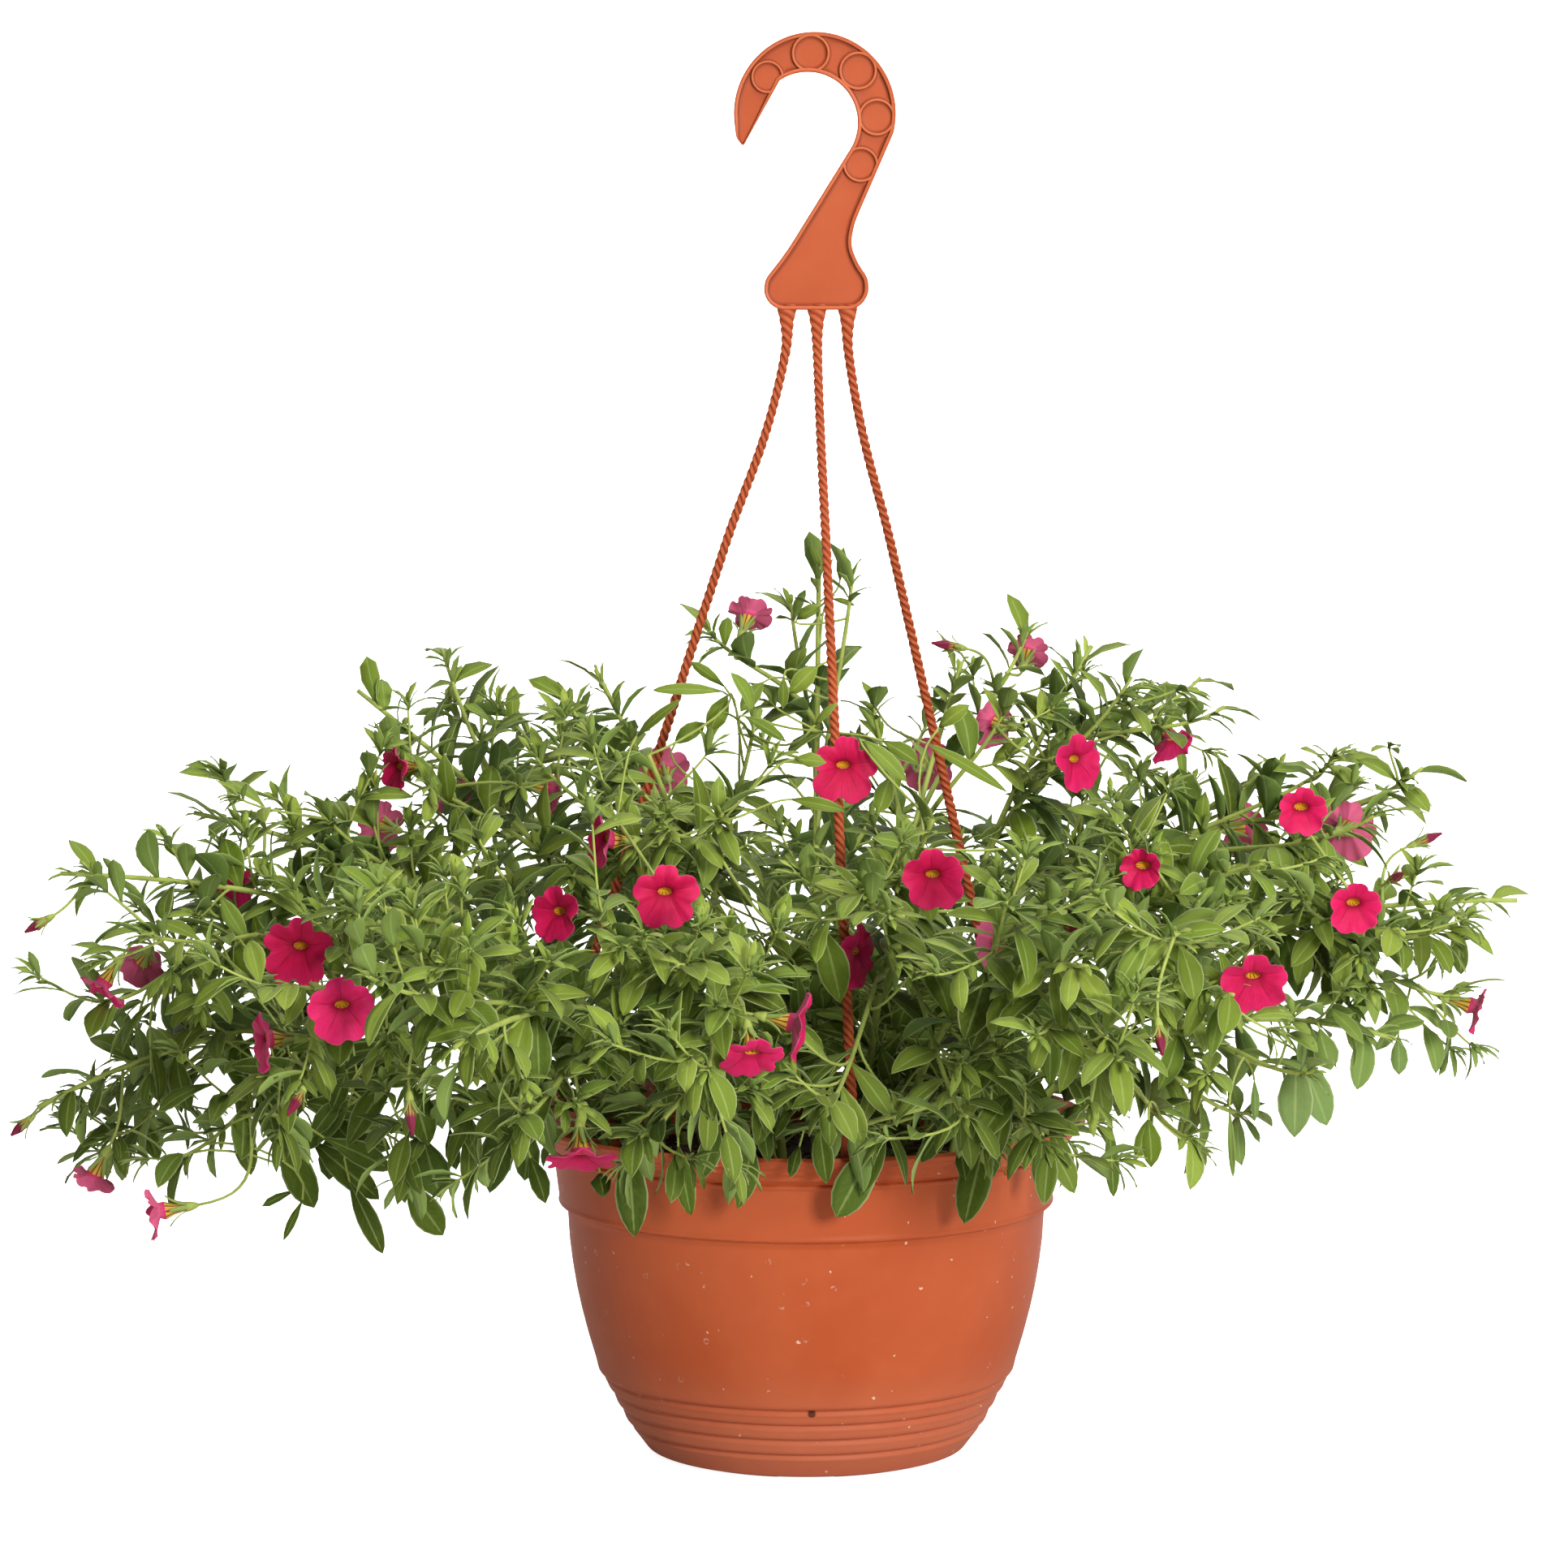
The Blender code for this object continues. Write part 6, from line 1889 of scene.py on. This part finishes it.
def add_bud(shape, place, length, seed):
    """A folded flower: five wound pleats on a striped tube."""
    sides, rows = 20, 14
    points, marks_here = [], []
    for k in range(rows):
        t = k / (rows - 1)
        radius = 1.25 + 0.95 * math.sin(math.pi * min(1.0, t * 1.05)) ** 1.2 - 0.75 * t ** 3
        pleat = 0.22 * min(1.0, max(0.0, t - 0.3) * 2.5)
        for i in range(sides):
            a = 2 * math.pi * i / sides
            r = max(0.25, radius * (1 + pleat * math.cos(5 * a + 4.5 * t + 6 * seed)))
            points.append((r * math.cos(a), r * math.sin(a), -0.8 + (length + 0.6) * t))
            marks_here.append((t, i / sides, 0))
    shape.add(moved(place, points), tube_faces(rows, sides), 3, marks_here, 0.5, seed)
    add_calyx(shape, place @ Matrix.Translation((0, 0, 1.2)), seed, 0.8)


print("sepal faces:", len(SEPAL_FACES))

# %% [markdown]
# All that grew on one stem is joined in one piece, as on the plant, with one material slot each for leaf, shoot,
# hair and folded petals.

# %% Leafy stems


def make_leafy_stems():
    """One piece for each leafy stem: leaves, shoots, stalks, calyces and folded flowers."""
    made = {}
    for stem, (name, group) in enumerate(shoots.items()):
        shape = Shape()
        draw = random.Random(300 + stem)
        for leaf in leaves[name]:
            add_leaf(shape, *leaf)
        for _, _, radius, curve in group:
            steps, thick, thin, buried = MAIN_SHOOT if radius == MAIN_R else SIDE_SHOOT
            chain = bezier(*curve, steps)
            add_shoot(shape, chain, thick, thin, 8)
            add_hairs(shape, chain[buried:], thick, thin, SHOOT_HAIRS, draw)
        for carrier, _, radius, curve in twigs + leaf_stalks:
            if carrier == name:
                add_shoot(shape, bezier(*curve, 8), radius, TWIG_TIP_R, 5, from_age=0.4)
                add_hairs(shape, bezier(*curve, 9), radius, TWIG_TIP_R, TWIG_HAIRS, draw)
        for index, place, _, carrier, route in blooms:
            if carrier == name:
                add_calyx(shape, place, index / (len(BLOOMS) + 1))
                add_stalk(shape, route, draw)
        for k, (place, length, carrier, route) in enumerate(buds):
            if carrier == name:
                add_bud(shape, place, length, (k + 0.5) / len(BUDS))
                add_stalk(shape, route, draw)
        made[name] = shape.finish("leafy_" + name, [LEAF, SHOOT, HAIR, FOLDED], [name])
    return made


leafy_stems = make_leafy_stems()
print("faces on the leafy stems:", sum(len(piece.data.polygons) for piece in leafy_stems.values()))

# %% [markdown]
# ## Open flowers
# The flower is a cup that opens flat. One closed profile is followed from the bottom of the throat up and out over
# the face, round the thin edge, back under it and down the outside of the tube. The profile changes with the angle:
# each of the five petals reaches out and has a small dent at its tip, the joins between petals sink, a crease follows
# each middle vein, and the edge waves gently, in its own way on each flower.

# %% Petals
FACE_ROWS = [0.0, 0.07, 0.17, 0.32, 0.5, 0.68, 0.84, 0.95, 1.0]
# radius of the tube, depth below the face, and share of its length
TUBE_SECTION = [(3.9, 5.4, 0.96), (3.1, 7.4, 0.8), (2.4, 9.4, 0.55), (1.9, 11.6, 0.3), (1.45, TUBE_LENGTH, 0.0)]
AROUND = 55
THROAT_WIDE = 2.9
THROAT_HIGH = 1.6
THROAT_UP = 0.8
THROAT_DEEP = 7.0
FACE_DIP = 3.4


def add_bloom(shape, radius, seed, spin):
    """A flower in its own frame: seat at 0, face at TUBE_LENGTH, looking along +Z, its lower petals the longer."""
    draw = random.Random(int(seed * 1e9) + 17)
    phases = [draw.uniform(0, 6.28) for _ in range(5)]
    sizes = [draw.uniform(0.95, 1.03) for _ in range(5)]
    wave, cup = draw.uniform(0.5, 1.3), draw.uniform(-0.12, 0.1)
    notch = draw.uniform(0.22, 0.36)
    face = TUBE_LENGTH
    angles = [2 * math.pi * i / AROUND for i in range(AROUND)]

    def throat(a, share):
        """The slit-like mouth: wider than high, and set a little towards the upper petals."""
        x, y = THROAT_WIDE * math.cos(a + spin) * share, THROAT_HIGH * math.sin(a + spin) * share
        return x, y + THROAT_UP

    def face_point(share, a):
        """A point of the face at that share of the way from the mouth to the edge, at that angle."""
        turn = (a + math.pi / 5) % (2 * math.pi)
        petal = int(turn / (2 * math.pi / 5))
        lobe = abs(turn % (2 * math.pi / 5) - math.pi / 5) / (math.pi / 5)
        size = sizes[petal] * (1 - lobe ** 6) + lobe ** 6
        size *= 0.97 - notch * lobe ** 3.8 - 0.04 * math.exp(-(lobe / 0.12) ** 2) - 0.11 * math.sin(a + spin)
        inner = throat(a, 1.0)
        reach = radius * size
        x = inner[0] + (reach * math.cos(a + spin) - inner[0]) * share
        y = inner[1] + (reach * math.sin(a + spin) - inner[1]) * share
        high = face - FACE_DIP + 3.9 * share ** 0.62 - 1.5 * share ** 3 * (1 - lobe) + cup * radius * share ** 2
        high -= 0.95 * math.exp(-(lobe / 0.16) ** 2) * share ** 0.5 * (1 - 0.45 * share)
        high -= 0.45 * math.exp(-((1 - lobe) / 0.12) ** 2) * share ** 1.5
        high += wave * share ** 3 * math.sin(4.4 * lobe + phases[petal] + 3 * a)
        return x, y, high

    rings = []
    for share, deep, kind in ((0.25, 3.4, 0.0), (0.7, 3.0, 0.3), (0.9, 1.7, 0.6), (1.0, 0.5, 0.95)):
        line = [(*throat(a, share), face - FACE_DIP - deep) for a in angles]
        rings.append((line, 2, [(kind, i / AROUND, 0) for i in range(AROUND)]))
    across = [((a + math.pi / 5) % (2 * math.pi / 5) - math.pi / 5) / (math.pi / 5) for a in angles]
    for share in FACE_ROWS:
        rings.append(([face_point(share, a) for a in angles], 0, [(0.12 + 0.88 * share, c, 0) for c in across]))
    for share in reversed(FACE_ROWS[2:]):
        line = [face_point(share, a) for a in angles]
        thick, shrink = 0.3 + 0.4 * (1 - share), 1 - 0.1 / radius * (share == 1.0)
        line = [(x * shrink, y * shrink, z - thick) for x, y, z in line]
        rings.append((line, 0, [(0.12 + 0.88 * share, c, 1.0) for c in across]))
    for r, deep, share in TUBE_SECTION:
        line = [(r * math.cos(a + spin), r * math.sin(a + spin), face - deep) for a in angles]
        rings.append((line, 1, [(share, i / AROUND, 0) for i in range(AROUND)]))
    points, place = [(0, THROAT_UP, face - THROAT_DEEP)], [(0.0, 0, 0)]
    for line, _, marks_here in rings:
        points += line
        place += marks_here
    points.append((0, 0, 0))
    place.append((0, 0, 0))
    shape.add(points, [], 0, place, 0.0, seed)
    first = shape.count - len(points)
    following = [*range(1, AROUND), 0]
    for k in range(len(rings)):
        here = first + 1 + k * AROUND
        for i, j in enumerate(following):
            before = (first,) if k == 0 else (here - AROUND + i,)
            shape.faces.append(before + (here + i, here + j) + ((here - AROUND + j,) if k else ()))
        shape.slots += [rings[max(k - 1, 0)][1]] * AROUND
    shape.faces += [(here + i, shape.count - 1, here + j) for i, j in enumerate(following)]
    shape.slots += [1] * AROUND


def make_flowers():
    """One piece for each open flower, set by the matrix that its solid has."""
    made = []
    for index, place, radius, *_ in blooms:
        shape = Shape()
        add_bloom(shape, radius, index / (len(BLOOMS) + 1), math.radians(18 + 9 * math.sin(5.3 * index)))
        rows = np.concatenate(shape.points)
        turn = np.array(place)
        shape.points = [rows @ turn[:3, :3].T + turn[:3, 3]]
        made.append(shape.finish(f"open_flower_{index:02d}", [PETAL, FLOWER_TUBE, THROAT],
                                 [f"bloom_{index:02d}"]))
    return made


open_flowers = make_flowers()
print("faces on the flowers:", sum(len(piece.data.polygons) for piece in open_flowers))

# %% [markdown]
# ## The soil
# Peat in a pot settles into a low uneven bed. The piece is a turned body whose top rises and falls by a few
# millimetres, with crumbs half sunk in it, and it stays just inside the pot's wall.

# %% Soil
SOIL_FOOT_Z = 3.2
SOIL_SIDE = [(66.0, SOIL_FOOT_Z), (75.0, 13.0), (87.2, 33.4), (97.8, 66.2), (103.4, 108.8), (107.6, 115.0),
             (108.0, 123.5)]
BED_FROM_Z = 125
BED_R = 102
BED_RINGS = [*range(BED_R, 13, -8), 7]
CRUMBS = 450


def bumps(x, y):
    """Uneven height of the bed at a place."""
    return (1.1 * math.sin(0.11 * x + 1.3) * math.cos(0.13 * y) + 0.8 * math.sin(0.27 * x + 0.21 * y)
            + 0.45 * math.sin(0.61 * x - 0.5 * y + 2.0))


def make_soil():
    """The body of peat, and crumbs on its bed."""
    def bed(r, z, a):
        """Lifts the points of the bed, and leaves the side and the underside."""
        return r, z + bumps(r * math.cos(a), r * math.sin(a)) if z > BED_FROM_Z else z

    shape = Shape()
    profile = [(0, SOIL_FOOT_Z)] + SOIL_SIDE + [(r, SOIL_TOP - 0.6) for r in BED_RINGS] + [(0, SOIL_TOP)]
    shape.add(*turned(profile, POT_SIDES, bed))
    draw = random.Random(41)
    lump = bmesh.new()
    bmesh.ops.create_icosphere(lump, subdivisions=1, radius=1.0)
    corners = [v.co.copy() for v in lump.verts]
    faces = [tuple(v.index for v in f.verts) for f in lump.faces]
    lump.free()
    for _ in range(CRUMBS):
        a, r = draw.uniform(0, 2 * math.pi), BED_R * math.sqrt(draw.random())
        x, y = r * math.cos(a), r * math.sin(a)
        size = draw.uniform(0.8, 2.6)
        stretch = Vector((draw.uniform(0.7, 1.5), draw.uniform(0.7, 1.5), draw.uniform(0.5, 0.9)))
        turn = Matrix.Rotation(draw.uniform(0, 6.28), 3, "Z")
        middle = Vector((x, y, SOIL_TOP - 0.4 + bumps(x, y)))
        points = [middle + turn @ Vector([c * s * size * draw.uniform(0.8, 1.2) for c, s in zip(corner, stretch)])
                  for corner in corners]
        shape.add([tuple(p) for p in points], faces)
    return shape.finish("peat_bed", [PEAT], ["soil"])


peat_bed = make_soil()
print("soil faces:", len(peat_bed.data.polygons))

# %% [markdown]
# ## Studio
# The basket stands on a white card that curves up behind it, as photographers use, so there is no horizon line. The
# card glows where it lies behind the basket, like a light table, so it stays white. Light linking keeps that glow off
# the basket, where it would wash out the shadows. A soft light stands in front on the right and a second one hangs
# above. A weak one on the left keeps the shaded side of the pot readable, and a strip behind lights the leaves'
# edges. Lengths are in metres here, as a studio is measured.

# %% Floor and lights
CARD_REACH = 9.0
CARD_BELOW = 0.0005
BEND_Y = 2.6
BEND_R = 2.0


def make_card():
    """A floor that sweeps up into a wall behind the basket."""
    turns = [math.radians(a) for a in range(0, 91, 6)]
    line = [(-CARD_REACH, 0.0), *((BEND_Y + BEND_R * math.sin(a), BEND_R - BEND_R * math.cos(a)) for a in turns)]
    line.append((BEND_Y + BEND_R, CARD_REACH))
    mesh = bpy.data.meshes.new("studio_card")
    points = [(x, y, z - CARD_BELOW) for x in (-CARD_REACH, CARD_REACH) for y, z in line]
    count = len(line)
    mesh.from_pydata(points, [], [(i, i + count, i + count + 1, i + 1) for i in range(count - 1)])
    mesh.materials.append(CARD)
    mesh.shade_smooth()
    made = bpy.data.objects.new("studio_card", mesh)
    bpy.context.scene.collection.objects.link(made)
    own = bpy.data.collections.new("lit_by_card")
    own.objects.link(made)
    made.light_linking.receiver_collection = own
    return made


def add_light(name, place, aim, size, watts, tint):
    """A soft square light that looks at a point."""
    data = bpy.data.lights.new(name, "AREA")
    data.shape = "RECTANGLE"
    data.size, data.size_y = size
    data.energy = watts
    data.color = linear(tint)[:3]
    made = bpy.data.objects.new(name, data)
    bpy.context.scene.collection.objects.link(made)
    made.location = place
    made.rotation_euler = (Vector(aim) - Vector(place)).to_track_quat("-Z", "Y").to_euler()
    return made


make_card()
MIDDLE = (0.0, 0.0, 0.26)
SOFTBOXES = [
    ("key_softbox", (1.15, -2.65, 1.0), MIDDLE, (0.7, 0.7), 70, "FFFEFB"),
    ("top_softbox", (0.3, -0.8, 2.7), MIDDLE, (1.1, 1.1), 33, "FFFFFF"),
    ("fill_softbox", (-2.2, -1.6, 0.9), MIDDLE, (1.6, 1.6), 1.0, "FBFCFF"),
    ("back_strip", (0.2, 1.8, 1.9), MIDDLE, (2.4, 0.8), 9, "FFFFFF"),
    ("wall_wash", (0.0, 1.2, 2.6), (0.0, 4.6, 1.2), (4.0, 1.0), 160, "FFFFFF"),
]
for softbox in SOFTBOXES:
    add_light(*softbox)
world = bpy.data.worlds.new("studio_world")
world.use_nodes = True
add_world = partial(add_node, world.node_tree)
sideways = add_world("SeparateXYZ", {}, add_world("TexCoord", {}))
glow = add_world("MapRange", SMOOTH, sideways, -0.7, 0.7, 0.12, 0.32)
add_world(world.node_tree.nodes["Background"], {"Color": "FFFFFF", "Strength": glow})
bpy.context.scene.world = world
bpy.context.scene.view_settings.view_transform = "Standard"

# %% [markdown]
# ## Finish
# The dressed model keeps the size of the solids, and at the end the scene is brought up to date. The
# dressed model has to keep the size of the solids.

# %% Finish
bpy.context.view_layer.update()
